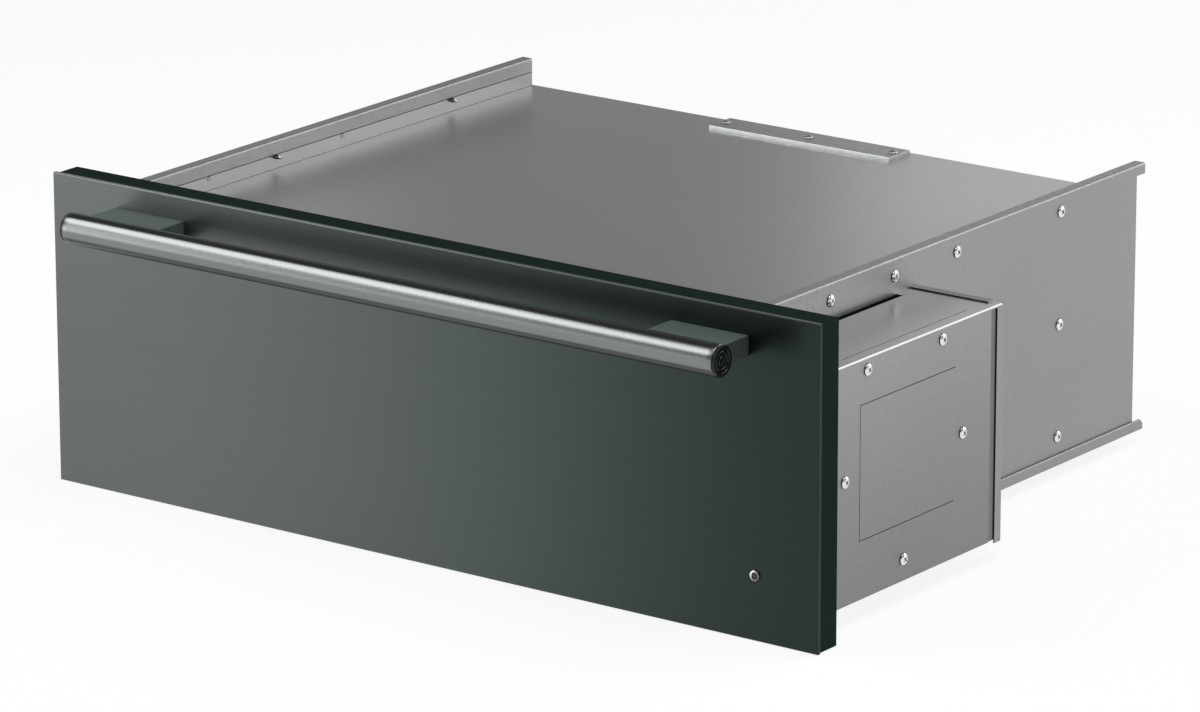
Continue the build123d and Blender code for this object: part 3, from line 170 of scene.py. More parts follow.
paper = new_finish("white_paper", {"Roughness": 0.9, "Specular IOR Level": 0.2})
paper_nodes = paper.node_tree.nodes
paper_links = paper.node_tree.links
paper_grain = paper_nodes.new("ShaderNodeTexNoise")
paper_grain.inputs["Scale"].default_value = 3.0
paper_tint = paper_nodes.new("ShaderNodeMix")
paper_tint.data_type = "RGBA"
paper_tint.inputs["A"].default_value = (paper_dull, paper_dull, paper_dull, 1)
paper_tint.inputs["B"].default_value = (paper_bright, paper_bright, paper_bright, 1)
paper_links.new(paper_grain.outputs["Fac"], paper_tint.inputs["Factor"])
linked(paper, paper_tint.outputs["Result"], "Base Color")
ray = paper_nodes.new("ShaderNodeLightPath").outputs
eye_or_metal = combined(paper, "MAXIMUM", ray["Is Camera Ray"], ray["Is Glossy Ray"])
eye_metal_glass = combined(paper, "MAXIMUM", eye_or_metal, ray["Is Transmission Ray"])
paper_white = paper_nodes.new("ShaderNodeEmission")
paper_white.inputs["Strength"].default_value = 1.0
paper_mix = paper_nodes.new("ShaderNodeMixShader")
paper_links.new(combined(paper, "MULTIPLY", eye_metal_glass, paper_glow), paper_mix.inputs["Fac"])
paper_links.new(paper_nodes["Principled BSDF"].outputs[0], paper_mix.inputs[1])
paper_links.new(paper_white.outputs[0], paper_mix.inputs[2])
paper_links.new(paper_mix.outputs[0], paper_nodes["Material Output"].inputs["Surface"])
paper.cycles.emission_sampling = "NONE"
studio_paper.data.materials.append(paper)

# ---------------------------------------------------------------- studio light
# An even grey room with a dim ceiling, and seven soft boxes and cards round the drawer. Each has
# its place, the place it is turned to, its width and height, and its power in watts.
room_low = 0.80
room_high = 0.20
fade_from = 0.10
fade_to = 0.35
rear_aim = (-0.1, 0.2, 0.0)
box_aim = (0.0, 0.05, 0.0)
soft_boxes = {
    "overhead_soft_box": ((-1.35, -0.85, 1.75), box_aim, (1.9, 1.1), 27.0),
    "left_card": ((-1.75, -1.45, 0.45), (-0.15, 0.0, 0.0), (0.5, 1.5), 9.0),
    "rear_card": ((1.85, 2.75, 0.95), rear_aim, (2.4, 1.2), 24.0),
    "back_left_card": ((-2.75, 2.9, 1.0), rear_aim, (0.5, 1.0), 0.6),
    "back_right_card": ((-1.10, 2.9, 0.95), rear_aim, (0.9, 1.0), 1.9),
    "high_rear_box": ((0.9, 2.4, 1.9), rear_aim, (1.7, 1.1), 17.0),
    "right_soft_box": ((0.85, -0.05, 2.1), box_aim, (1.6, 1.4), 30.0),
}

room = bpy.data.worlds.new("studio_room")
bpy.context.scene.world = room
room.use_nodes = True
room_nodes = room.node_tree.nodes
room_links = room.node_tree.links
room_place = room_nodes.new("ShaderNodeTexCoord")
room_split = room_nodes.new("ShaderNodeSeparateXYZ")
room_links.new(room_place.outputs["Generated"], room_split.inputs[0])
room_fade = room_nodes.new("ShaderNodeMapRange")
room_fade.interpolation_type = "SMOOTHSTEP"
room_fade.inputs["From Min"].default_value = fade_from
room_fade.inputs["From Max"].default_value = fade_to
room_fade.inputs["To Min"].default_value = room_low
room_fade.inputs["To Max"].default_value = room_high
room_links.new(room_split.outputs["Z"], room_fade.inputs["Value"])
room_links.new(room_fade.outputs["Result"], room_nodes["Background"].inputs["Strength"])
room_nodes["Background"].inputs["Color"].default_value = (1.0, 1.0, 1.0, 1)

for name, (place, aim, size, power) in soft_boxes.items():
    light = bpy.data.lights.new(name, "AREA")
    light.shape = "RECTANGLE"
    light.size, light.size_y = size
    light.energy = power
    lamp = bpy.data.objects.new(name, light)
    lamp.location = place
    lamp.rotation_euler = (Vector(aim) - Vector(place)).to_track_quat("-Z", "Y").to_euler()
    lamp.visible_camera = False
    bpy.context.scene.collection.objects.link(lamp)

# ---------------------------------------------------------------- base tray
# The housing's floor: one sheet of plain cold-rolled steel with its long edges turned up outside
# the walls, folded in a press brake. The rolling lines run from front to back.
housing_tone = 0.325
housing_cool = (0.985, 1.0, 1.0)
line_cells = 900.0
line_run = 5.0
cloud_cells = 4.0
spot_cells = 220.0


def triple(value):
    """Three equal values for one number; a colour or a place stays as it is."""
    return (value, value, value) if isinstance(value, float) else tuple(value)


def drawn_noise(material, cells, detail=3.0, shift=0.0):
    """Noise in the piece's own metres, with so many cells per metre along X, Y and Z."""
    nodes = material.node_tree.nodes
    links = material.node_tree.links
    place = nodes.new("ShaderNodeTexCoord")
    scaled = nodes.new("ShaderNodeMapping")
    scaled.inputs["Scale"].default_value = triple(cells)
    scaled.inputs["Location"].default_value = (shift, shift * 0.7, shift * 1.3)
    links.new(place.outputs["Object"], scaled.inputs["Vector"])
    grain = nodes.new("ShaderNodeTexNoise")
    grain.inputs["Scale"].default_value = 1.0
    grain.inputs["Detail"].default_value = detail
    links.new(scaled.outputs["Vector"], grain.inputs["Vector"])
    return grain.outputs["Fac"]


def ranged(material, source, low, high, start=0.3, end=0.7):
    """A value that runs from low to high as the source runs from start to end."""
    step = material.node_tree.nodes.new("ShaderNodeMapRange")
    step.inputs["From Min"].default_value = start
    step.inputs["From Max"].default_value = end
    step.inputs["To Min"].default_value = low
    step.inputs["To Max"].default_value = high
    material.node_tree.links.new(source, step.inputs["Value"])
    return step.outputs["Result"]


def tinted(material, source, first, last, start=0.3, end=0.7, between=()):
    """A tone that runs from the first to the last, by way of those between; a number is a grey."""
    step = material.node_tree.nodes.new("ShaderNodeValToRGB")
    stops = step.color_ramp.elements
    stops[0].position = start
    stops[0].color = (*triple(first), 1)
    stops[1].position = end
    stops[1].color = (*triple(last), 1)
    for place, tone in between:
        stops.new(place).color = (*triple(tone), 1)
    material.node_tree.links.new(source, step.inputs["Fac"])
    return step.outputs["Color"]


def multiplied(material, first, second):
    """Two colours laid over each other."""
    step = material.node_tree.nodes.new("ShaderNodeMix")
    step.data_type = "RGBA"
    step.blend_type = "MULTIPLY"
    step.inputs["Factor"].default_value = 1.0
    material.node_tree.links.new(first, step.inputs["A"])
    material.node_tree.links.new(second, step.inputs["B"])
    return step.outputs["Result"]


def relief(material, height, distance, strength=1.0, rounding=0.0):
    """The fine relief of a surface; rounding softens the light on its sharp edges."""
    nodes = material.node_tree.nodes
    links = material.node_tree.links
    bump = nodes.new("ShaderNodeBump")
    bump.inputs["Distance"].default_value = distance
    bump.inputs["Strength"].default_value = strength
    links.new(height, bump.inputs["Height"])
    if rounding:
        edge = nodes.new("ShaderNodeBevel")
        edge.samples = 4
        edge.inputs["Radius"].default_value = rounding
        links.new(edge.outputs["Normal"], bump.inputs["Normal"])
    linked(material, bump.outputs["Normal"], "Normal")


def mill_steel(name, tone, grain_axis, cool=housing_cool, rough=(0.40, 0.52), shift=0.0,
               rounding=0.0005, grain=0.3):
    """Plain rolled sheet: soft cloudy tone, fine rolling lines along one axis, a dull shine."""
    material = new_finish(name, {"Metallic": 1.0})
    along = [line_run if axis == grain_axis else line_cells for axis in "XYZ"]
    cloud = drawn_noise(material, cloud_cells, 2.0, shift)
    lines = drawn_noise(material, along, 2.0, shift)
    spots = drawn_noise(material, spot_cells, 2.0, shift)
    light = [tone * share for share in cool]
    body = tinted(material, cloud, [0.93 * value for value in light], light)
    streak = tinted(material, lines, 0.965, 1.0)
    linked(material, multiplied(material, body, streak), "Base Color")
    linked(material, ranged(material, spots, *rough), "Roughness")
    relief(material, lines, 0.000008, grain, rounding)
    return material


def dressed(node, material):
    """A CAD node that keeps its shape takes its finish."""
    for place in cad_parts[node].material_slots:
        place.link = "OBJECT"
        place.material = material


dressed("base_tray", mill_steel("tray_steel", housing_tone * 0.95, "Y", shift=1.0))

# ---------------------------------------------------------------- side walls
# Plain steel sheet, each with a lip folded inwards along its top and a hem folded down from the
# lip. They stand in the base tray and are screwed to the top plate's flanges.
dressed("side_wall_left", mill_steel("left_wall_steel", housing_tone, "Y", shift=2.0))
dressed("side_wall_right", mill_steel("right_wall_steel", housing_tone, "Y", shift=3.0))

# ---------------------------------------------------------------- top plate
# One sheet between the walls, its side flanges turned up against their hems and its rear edge
# turned down. It has a finer shine, and painted shade makes it dark in its bends, along the crease
# by its left flange and along the top edges of its flanges.
painted_shade_tone = 0.14
crease_from = 0.0014
crease_width = 0.0018
top_shade_depth = 0.0005
top_shade_blend = 0.0002


def axes_of(material, kind):
    """X, Y and Z of the place on the piece ("Object") or of the way a face looks ("Normal")."""
    nodes = material.node_tree.nodes
    split = nodes.new("ShaderNodeSeparateXYZ")
    source = nodes["Texture Coordinate"].outputs[kind]
    material.node_tree.links.new(source, split.inputs[0])
    return split.outputs


def shaded(material, *shades):
    """Lays tones over the colour that a finish already has."""
    shader = material.node_tree.nodes["Principled BSDF"]
    colour = shader.inputs["Base Color"].links[0].from_socket
    for shade in shades:
        colour = multiplied(material, colour, shade)
    linked(material, colour, "Base Color")
    return material


top_steel = mill_steel("top_plate_steel", housing_tone * 1.02, "X", rough=(0.28, 0.30),
                       shift=4.0, grain=0.01)
top_low, top_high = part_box("top_plate")
top_faces = axes_of(top_steel, "Normal")
top_place = axes_of(top_steel, "Object")
# Painted shade: dark in the inner bend, along the crease by the left flange and along the flanges'
# top edges.
bend_painted_shade = tinted(top_steel, top_faces["X"], 1.0, painted_shade_tone, 0.08, 0.12,
                  ((0.60, painted_shade_tone), (0.70, 1.0)))
crease = top_low.x + crease_from
crease_run = ranged(top_steel, top_place["X"], 0.0, 1.0, crease, crease + crease_width)
crease_painted_shade = tinted(top_steel, crease_run, 1.0, 1.0, 0.0, 1.0,
                    ((0.05, painted_shade_tone), (0.95, painted_shade_tone)))
top_shade_level = top_high.z - top_shade_depth
top_shade_run = ranged(top_steel, top_place["Z"], 0.0, 1.0, top_shade_level, top_shade_level + top_shade_blend)
top_edge_painted_shade = tinted(top_steel, top_shade_run, 1.0, painted_shade_tone)
dressed("top_plate", shaded(top_steel, bend_painted_shade, crease_painted_shade, top_edge_painted_shade))

# ---------------------------------------------------------------- anti-tip bracket
# A flat bar of bright steel at the rear of the top plate, held by three screws. It stops the open
# drawer from tipping the housing forward. Its front faces are darker.
bracket_tone = 0.86
bracket_front_tone = 0.41

bracket_steel = mill_steel("bracket_steel", bracket_tone, "X", rough=(0.34, 0.46), shift=5.0)
bracket_front = ranged(bracket_steel, axes_of(bracket_steel, "Normal")["Y"], 1.0, 0.0, -0.95, -0.80)
bracket_shade = tinted(bracket_steel, bracket_front, bracket_front_tone, 1.0, 0.1, 0.9)
dressed("anti_tip_bracket", shaded(bracket_steel, bracket_shade))

# ---------------------------------------------------------------- pan-head screws
# Steel screws with a domed head, a cross recess and a rolled thread. Chromed ones hold the walls,
# the control box's cover and the tub; smaller, flatter zinc-plated ones hold the bracket. Two of
# the left wall's end flush with the flange.
head_radius = 0.0050
head_height = 0.0026
dome_height = 0.0021
dome_profile = (
    (0.0, 1.0), (0.30, 0.985), (0.55, 0.915), (0.76, 0.77), (0.90, 0.54), (0.975, 0.32),
    (1.0, 0.17), (0.985, 0.03), (0.95, 0.0),
)
head_turns = 32
bracket_head = (0.0042, 0.0017)
shank_radius = 0.0019
thread_depth = 0.00035
thread_pitch = 0.0014
thread_turns = 12
tip_length = 0.0025
recess_width = 0.0011
recess_length = 0.0048
recess_depth = 0.0015
recess_taper = 0.28
recess_clear = 0.0005
recess_turn = 42
recess_turn_step = 3
flush_length = 0.0118
flush_places = (0.1296, 0.3056)
flush_reach = 0.003
long_shank = 0.015
head_crease = 38


def surfaced(material, colour, rough, fine, depth, strength, rounding=0.0):
    """Gives a finish its colour, and a shine and relief that vary with one fine noise."""
    linked(material, colour, "Base Color")
    linked(material, ranged(material, fine, *rough), "Roughness")
    relief(material, fine, depth, strength, rounding)
    return material


def screw_chrome(axis, sense):
    """Bright chrome on a head that faces along the axis; painted shade makes its steep sides and
    its thread dark and the faces turned the other way dimmer."""
    material = new_finish("screw_chrome", {"Metallic": 1.0})
    cloud = drawn_noise(material, 900.0, 2.0)
    level = ranged(material, axes_of(material, "Normal")[axis], 0.0, 1.0, -sense, sense)
    # Painted shade by the way each face looks: dark on the steep sides and the thread.
    painted_rim_shade = tinted(material, level, 0.30, 1.0, 0.02, 0.81,
                 ((0.04, 1.0), (0.33, 1.0), (0.37, 0.05), (0.72, 0.05)))
    plain = tinted(material, cloud, (0.70, 0.70, 0.71), (0.84, 0.84, 0.85))
    colour = multiplied(material, plain, painted_rim_shade)
    return surfaced(material, colour, (0.07, 0.14), cloud, 0.00002, 0.4)


screw_zinc = new_finish("screw_zinc", {"Metallic": 1.0})
screw_cloud = drawn_noise(screw_zinc, 700.0, 2.0, 5.0)
screw_grey = tinted(screw_zinc, screw_cloud, (0.30, 0.31, 0.32), (0.42, 0.43, 0.44))
surfaced(screw_zinc, screw_grey, (0.30, 0.42), screw_cloud, 0.00002, 0.4)


def evaluated(made):
    """The mesh of a piece with its modifiers applied; the piece itself goes."""
    depsgraph = bpy.context.evaluated_depsgraph_get()
    mesh = bpy.data.meshes.new_from_object(made.evaluated_get(depsgraph))
    old = made.data
    bpy.data.objects.remove(made)
    bpy.data.meshes.remove(old)
    return mesh


def tapered_block(low, high, taper):
    """A block between two corners; its lower face is smaller by the taper on each side."""
    corners = []
    for z, inset in ((low[2], taper), (high[2], 0.0)):
        left, right = low[0] + inset, high[0] - inset
        front, back = low[1] + inset, high[1] - inset
        corners += [(left, front, z), (right, front, z), (right, back, z), (left, back, z)]
    faces = [(3, 2, 1, 0), (4, 5, 6, 7), (0, 1, 5, 4), (1, 2, 6, 5), (2, 3, 7, 6), (3, 0, 4, 7)]
    return corners, faces


def pan_screw_mesh(length, radius, dome):
    """One screw along Z, the underside of its head at zero."""
    profile = [(radius * r + (0.00001 if r == 0 else 0), dome * z) for r, z in dome_profile]
    head = piece_from("screw_head", *turned(list(reversed(profile)), head_turns, closed=True))
    long, wide = recess_length / 2, recess_width / 2
    cutters = []
    for name, x, y in (("recess_a", long, wide), ("recess_b", wide, long)):
        block = tapered_block((-x, -y, dome - recess_depth), (x, y, dome + recess_clear),
                              recess_width * recess_taper)
        cutters.append(piece_from(name, *block, False))
        cut = head.modifiers.new(name, "BOOLEAN")
        cut.operation = "DIFFERENCE"
        cut.solver = "EXACT"
        cut.object = cutters[-1]
    mesh = evaluated(head)
    for cutter in cutters:
        bpy.data.objects.remove(cutter)
    points = [tuple(v.co) for v in mesh.vertices]
    faces = [tuple(p.vertices) for p in mesh.polygons]
    bpy.data.meshes.remove(mesh)
    base = len(points)
    rings = max(6, int(length / thread_pitch * 4))
    for ring in range(rings + 1):
        z = -length * ring / rings
        tip = min(1.0, (length + z) / tip_length) if length != flush_length else 1.0
        for turn in range(thread_turns):
            phase = (-z / thread_pitch + turn / thread_turns) % 1.0
            groove = thread_depth * (1 - abs(2 * phase - 1)) if ring else 0.0
            reach = (shank_radius - groove) * (0.25 + 0.75 * tip)
            angle = 2 * math.pi * turn / thread_turns
            points.append((reach * math.cos(angle), reach * math.sin(angle), z))
    for ring in range(rings):
        for turn in range(thread_turns):
            after = (turn + 1) % thread_turns
            low = base + ring * thread_turns
            below = low + thread_turns
            faces.append((low + turn, below + turn, below + after, low + after))
    last = base + rings * thread_turns
    faces.append(tuple(last + turn for turn in reversed(range(thread_turns))))
    return points, faces


def loose_parts(node):
    """The box of each separate solid in a node, in the order of its places."""
    work = bmesh.new()
    work.from_mesh(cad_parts[node].data)
    bmesh.ops.remove_doubles(work, verts=work.verts, dist=1e-6)
    seen = set()
    found = []
    for first in work.verts:
        if first in seen:
            continue
        seen.add(first)
        group = [first]
        for vert in group:
            for edge in vert.link_edges:
                other = edge.other_vert(vert)
                if other not in seen:
                    seen.add(other)
                    group.append(other)
        low = Vector([min(v.co[i] for v in group) for i in range(3)])
        high = Vector([max(v.co[i] for v in group) for i in range(3)])
        found.append((low, high))
    work.free()
    return sorted(found, key=lambda part: tuple(round(value, 4) for value in part[0]))


def laid(place, points):
    """Points moved to their place on the drawer."""
    return [tuple(place @ Vector(point)) for point in points]


def screws(name, node, outward, body, head=(head_radius, dome_height), material=None, flush=()):
    """Screws in the places of a node's solids, their recesses turned as they stopped; those at
    a flush place along Y end with the sheet."""
    outward = Vector(outward)
    axis = max(range(3), key=lambda i: abs(outward[i]))
    turn_to = outward.to_track_quat("Z", "Y").to_matrix().to_4x4()
    points = []
    faces = []
    meshes = {}
    for index, (low, high) in enumerate(loose_parts(node)):
        seat = (low + high) / 2
        length = round(high[axis] - low[axis] - head_height, 4)
        if length > long_shank and any(abs(seat.y - place) < flush_reach for place in flush):
            length = flush_length
        if length not in meshes:
            meshes[length] = pan_screw_mesh(length, *head)
        seat[axis] = high[axis] - head_height if outward[axis] > 0 else low[axis] + head_height
        turn = math.radians(recess_turn + recess_turn_step * (index % 4))
        place = Matrix.Translation(seat) @ turn_to @ Matrix.Rotation(turn, 4, "Z")
        start = len(points)
        points += laid(place, meshes[length][0])
        faces += [tuple(start + corner for corner in face) for face in meshes[length][1]]
    made = piece_from(name, points, faces)
    made.data.set_sharp_from_angle(angle=math.radians(head_crease))
    made.data.materials.append(material or screw_chrome("XYZ"[axis], outward[axis]))
    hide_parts(node)
    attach(made, body)


screws("bracket_pan_screws", "anti_tip_screws", (0, 0, 1), "housing", bracket_head, screw_zinc)
screws("left_wall_pan_screws", "wall_screws_left", (-1, 0, 0), "housing", flush=flush_places)
screws("right_wall_pan_screws", "wall_screws_right", (1, 0, 0), "housing")
screws("cover_pan_screws", "control_cover_screws", (1, 0, 0), "housing")
screws("tub_pan_screws", "tub_screws", (0, 1, 0), "drawer")

# ---------------------------------------------------------------- front frame, bulkhead, back panel
# Zinc-plated steel sheet: the frame that is screwed to the cabinet's face and the wall behind the
# cavity that carries the fittings. The vented panel that closes the rear is plain steel.
zinc_tone = (0.50, 0.52, 0.53)


def zinc_plate(name, tone=zinc_tone, rough=(0.30, 0.46), cells=45.0, shift=0.0):
    """Zinc on steel: small dull crystals in slightly different greys."""
    material = new_finish(name, {"Metallic": 1.0})
    nodes = material.node_tree.nodes
    links = material.node_tree.links
    place = nodes.new("ShaderNodeTexCoord")
    crystal = nodes.new("ShaderNodeTexVoronoi")
    crystal.inputs["Scale"].default_value = cells
    links.new(place.outputs["Object"], crystal.inputs["Vector"])
    fine = drawn_noise(material, 400.0, 3.0, shift)
    grey = nodes.new("ShaderNodeRGBToBW")
    links.new(crystal.outputs["Color"], grey.inputs["Color"])
    body = tinted(material, grey.outputs["Val"], [0.86 * value for value in tone], tone, 0.1, 0.9)
    speck = tinted(material, fine, 0.92, 1.0)
    linked(material, multiplied(material, body, speck), "Base Color")
    linked(material, ranged(material, grey.outputs["Val"], *rough, 0.0, 1.0), "Roughness")
    relief(material, fine, 0.00002, 0.4, 0.0004)
    return material


dressed("front_frame", zinc_plate("frame_zinc", shift=1.0))
dressed("rear_bulkhead", zinc_plate("bulkhead_zinc", shift=2.0))
dressed("back_panel", mill_steel("back_panel_steel", housing_tone, "X", shift=6.0))

# ---------------------------------------------------------------- cavity liner
# The drawer's chamber: five sides of satin stainless sheet, folded and spot-welded, its edge
# against the front frame.
stainless_warm = (1.0, 0.99, 0.97)
dressed("cavity_liner", mill_steel("liner_stainless", 0.52, "Y", stainless_warm, (0.28, 0.33), 7.0,
                                   grain=0.03))

# ---------------------------------------------------------------- mineral wool
# Slabs of white oven wool laid round the liner, behind it and in the front panel. They are cut to
# size, soft at the edges, and fit between the sheets without glue.
wool_voxel = 0.006
wool_give = 0.0011
wool_hollows = 55.0
wool_tufts = 160.0

wool = new_finish("oven_wool", {
    "Roughness": 0.95, "Specular IOR Level": 0.1, "Sheen Weight": 0.35, "Sheen Roughness": 0.6,
})
wool_cloud = drawn_noise(wool, 90.0, 5.0)
wool_fibre = drawn_noise(wool, (900.0, 160.0, 900.0), 4.0, 3.0)
wool_body = tinted(wool, wool_cloud, (0.62, 0.58, 0.47), (0.83, 0.80, 0.71))
wool_lines = tinted(wool, wool_fibre, (0.82, 0.81, 0.78), 1.0)
surfaced(wool, multiplied(wool, wool_body, wool_lines), (0.86, 1.0), wool_fibre, 0.0006, 0.8)


def wool_slab(name, node, body):
    """A slab in the space of its solid, its faces drawn in by the uneven wool."""
    slab = bpy.data.objects.new(name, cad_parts[node].data.copy())
    bpy.context.scene.collection.objects.link(slab)
    voxels = slab.modifiers.new("voxels", "REMESH")
    voxels.mode = "VOXEL"
    voxels.voxel_size = wool_voxel
    mesh = evaluated(slab)
    mesh.materials.clear()
    mesh.materials.append(wool)
    low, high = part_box(node)
    normals = [Vector(v.normal) for v in mesh.vertices]
    for vert, out in zip(mesh.vertices, normals):
        hollow = noise.noise(vert.co * wool_hollows)
        tuft = noise.noise(vert.co * wool_tufts)
        depth = 0.5 + 0.5 * hollow + 0.4 * tuft
        vert.co = vert.co - out * wool_give * max(0.15, min(1.4, depth))
        vert.co = Vector([min(max(vert.co[i], low[i]), high[i]) for i in range(3)])
    mesh.polygons.foreach_set("use_smooth", [True] * len(mesh.polygons))
    mesh.name = name
    slab = bpy.data.objects.new(name, mesh)
    bpy.context.scene.collection.objects.link(slab)
    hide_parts(node)
    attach(slab, body)


for side in ("left", "right", "floor", "top", "back"):
    wool_slab("wool_" + side, "insulation_" + side, "housing")
wool_slab("wool_front", "front_insulation", "drawer")

# ---------------------------------------------------------------- heating element and its clips
# A tube of heat-proof alloy with a coil packed inside, bent to loops over the cavity's floor.
# Folded zinc-plated clips hold it down.
sheath = new_finish("element_sheath", {"Metallic": 1.0})
sheath_scale = drawn_noise(sheath, 60.0, 4.0)
sheath_fine = drawn_noise(sheath, 800.0, 2.0, 2.0)
sheath_body = tinted(sheath, sheath_scale, (0.09, 0.075, 0.06), (0.22, 0.20, 0.17))
surfaced(sheath, sheath_body, (0.42, 0.62), sheath_fine, 0.00003, 0.5)
dressed("heating_element", sheath)
dressed("element_clips", zinc_plate("clip_zinc", shift=3.0))

# ---------------------------------------------------------------- temperature probe and cut-out
# A stainless probe reaches through the rear of the cavity on a small flange. The snap-disc cut-out
# beside it is a dark moulded body with two tabs.
dressed("temperature_probe", mill_steel("probe_stainless", 0.55, "Y", stainless_warm, (0.22, 0.30),
                                        8.0, grain=0.05))


def moulded(name, dark, light):
    """Moulded plastic: even colour, a fine spark-eroded texture."""
    material = new_finish(name, {"Specular IOR Level": 0.45})
    cloud = drawn_noise(material, 30.0, 2.0)
    fine = drawn_noise(material, 700.0, 3.0, 1.0)
    colour = tinted(material, cloud, dark, light)
    return surfaced(material, colour, (0.38, 0.55), fine, 0.00004, 0.6, 0.0004)


dressed("thermal_cutout", moulded("cutout_phenolic", (0.03, 0.028, 0.026), (0.06, 0.055, 0.05)))

# ---------------------------------------------------------------- control box
# A folded shell beside the right wall, closed by a screwed side cover with a pressed rectangle
# and by a rear cap that laps it. All of it is the same plain sheet as the housing. Painted shade
# darkens the pressed lines, the shell's set-back edge and the cap's front faces, and the cover
# towards its foot.
deep_painted_shade = 0.12
shell_edge_painted_shade = 0.42
shell_edge_depth = 0.0006
groove_depth = 0.0002
level_blend = 0.00005
cover_foot_painted_shade = 0.74


def shade_painted_below(material, level, tone):
    """Painted shade on faces that look right and lie below a level, where a groove or a set-back
    edge is.
    """
    place = axes_of(material, "Object")["X"]
    low = ranged(material, place, 1.0, 0.0, level - level_blend, level + level_blend)
    looks_right = ranged(material, axes_of(material, "Normal")["X"], 0.0, 1.0, 0.90, 0.95)
    both = combined(material, "MULTIPLY", low, looks_right)
    return shaded(material, tinted(material, both, 1.0, tone, 0.1, 0.9))


cover_low, cover_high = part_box("control_box_cover")
shell_steel = mill_steel("box_shell_steel", housing_tone * 1.27, "Y", rough=(0.28, 0.285),
                         shift=9.0, rounding=0.0002, grain=0.004)
shell_edge = cover_high.x - shell_edge_depth
dressed("control_box_shell", shade_painted_below(shell_steel, shell_edge, shell_edge_painted_shade))

cover_steel = mill_steel("box_cover_steel", housing_tone * 1.04, "Y", shift=10.0, rounding=0.0002)
# Painted shade: the cover grows darker towards its foot.
cover_up = axes_of(cover_steel, "Object")["Z"]
cover_rise = ranged(cover_steel, cover_up, 0.0, 1.0, cover_low.z, cover_high.z)
shaded(cover_steel, tinted(cover_steel, cover_rise, cover_foot_painted_shade, 1.0, 0.0, 1.0))
groove_level = cover_high.x - groove_depth
dressed("control_box_cover", shade_painted_below(cover_steel, groove_level, deep_painted_shade))

cap_steel = mill_steel("box_cap_steel", housing_tone * 1.02, "Z", shift=11.0)
# Painted shade on the cap's faces that look to the front.
cap_front = ranged(cap_steel, axes_of(cap_steel, "Normal")["Y"], 1.0, 0.0, -0.95, -0.85)
cap_shade = tinted(cap_steel, cap_front, 1.0, deep_painted_shade, 0.1, 0.9)
dressed("control_box_rear_cap", shaded(cap_steel, cap_shade))

# ---------------------------------------------------------------- slot strip
# A strip of black foam that closes the slot between the control box and the wall. It is cut to
# length and pressed in, a little below the sheet, with a soft crowned top.
strip_x = (0.27725, 0.28405)
strip_y = (0.0121, 0.2193)
strip_sink = 0.0003
strip_height = 0.003
strip_crown = 0.00025
strip_waves = 60.0
strip_runs = 40
strip_section = (
    (0.0, 0.0), (0.0, 0.88), (0.06, 0.96), (0.3, 1.0), (0.5, 1.01), (0.7, 1.0), (0.94, 0.96),
    (1.0, 0.88), (1.0, 0.0),
)

strip_foam = new_finish("slot_foam", {"Specular IOR Level": 0.02})
strip_cells = drawn_noise(strip_foam, 900.0, 3.0)
strip_black = tinted(strip_foam, strip_cells, 0.0010, 0.0030)
surfaced(strip_foam, strip_black, (0.85, 1.0), strip_cells, 0.0002, 0.8)

strip_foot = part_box("control_box_shell")[1].z - strip_sink - strip_height
strip_points = []
strip_faces = []
for run in range(strip_runs + 1):
    along = strip_y[0] + (strip_y[1] - strip_y[0]) * run / strip_runs
    sink = strip_crown * (0.5 + 0.5 * noise.noise(Vector((along * strip_waves, 3.0, 1.0))))
    for across, share in strip_section:
        x = strip_x[0] + (strip_x[1] - strip_x[0]) * across
        strip_points.append((x, along, strip_foot + (strip_height - sink) * share))
corners = len(strip_section)
for run in range(strip_runs):
    near = run * corners
    far = near + corners
    for corner in range(corners):
        after = (corner + 1) % corners
        strip_faces.append((near + corner, near + after, far + after, far + corner))
strip_faces.append(tuple(reversed(range(corners))))
strip_faces.append(tuple(range(strip_runs * corners, (strip_runs + 1) * corners)))
slot_strip = piece_from("slot_foam_strip", strip_points, strip_faces)
slot_strip.data.set_sharp_from_angle(angle=math.radians(50))
slot_strip.data.materials.append(strip_foam)
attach(slot_strip, "housing")

# ---------------------------------------------------------------- power inlet and terminal block
# A black moulded gland in the rear cap, and a white three-way block for the supply leads on the
# cap's inner side.
dressed("power_inlet", moulded("inlet_moulding", (0.012, 0.012, 0.013), (0.026, 0.026, 0.028)))
dressed("terminal_block", moulded("terminal_moulding", (0.70, 0.69, 0.66), (0.80, 0.79, 0.76)))

# ---------------------------------------------------------------- control board and its parts
# A green glass-fibre board on four nylon stand-offs, with a transformer, two relays, a connector, a
# fuse and two capacitors soldered to it.
board = new_finish("board_lacquer", {
    "Specular IOR Level": 0.5, "Coat Weight": 0.4, "Coat Roughness": 0.15,
})
board_weave = drawn_noise(board, 500.0, 2.0)
board_cloud = drawn_noise(board, (40.0, 90.0, 90.0), 1.0, 2.0)
board_green = tinted(board, board_cloud, (0.010, 0.085, 0.035), (0.020, 0.160, 0.065), 0.48, 0.52)
linked(board, board_green, "Base Color")
linked(board, ranged(board, board_weave, 0.30, 0.45), "Roughness")
relief(board, board_cloud, 0.00004, 0.6)
dressed("control_board", board)
dressed("board_standoffs", moulded("standoff_nylon", (0.72, 0.71, 0.68), (0.84, 0.83, 0.80)))
dressed("board_parts", moulded("board_part_case", (0.05, 0.05, 0.055), (0.09, 0.09, 0.10)))

# ---------------------------------------------------------------- keypad and indicator lamp
# A flat film keypad stuck to the frame behind the front panel, its key fields slightly raised, and
# the lamp below it that shines into the panel's light pipe.
key_face = -0.00259
film_face = -0.00235

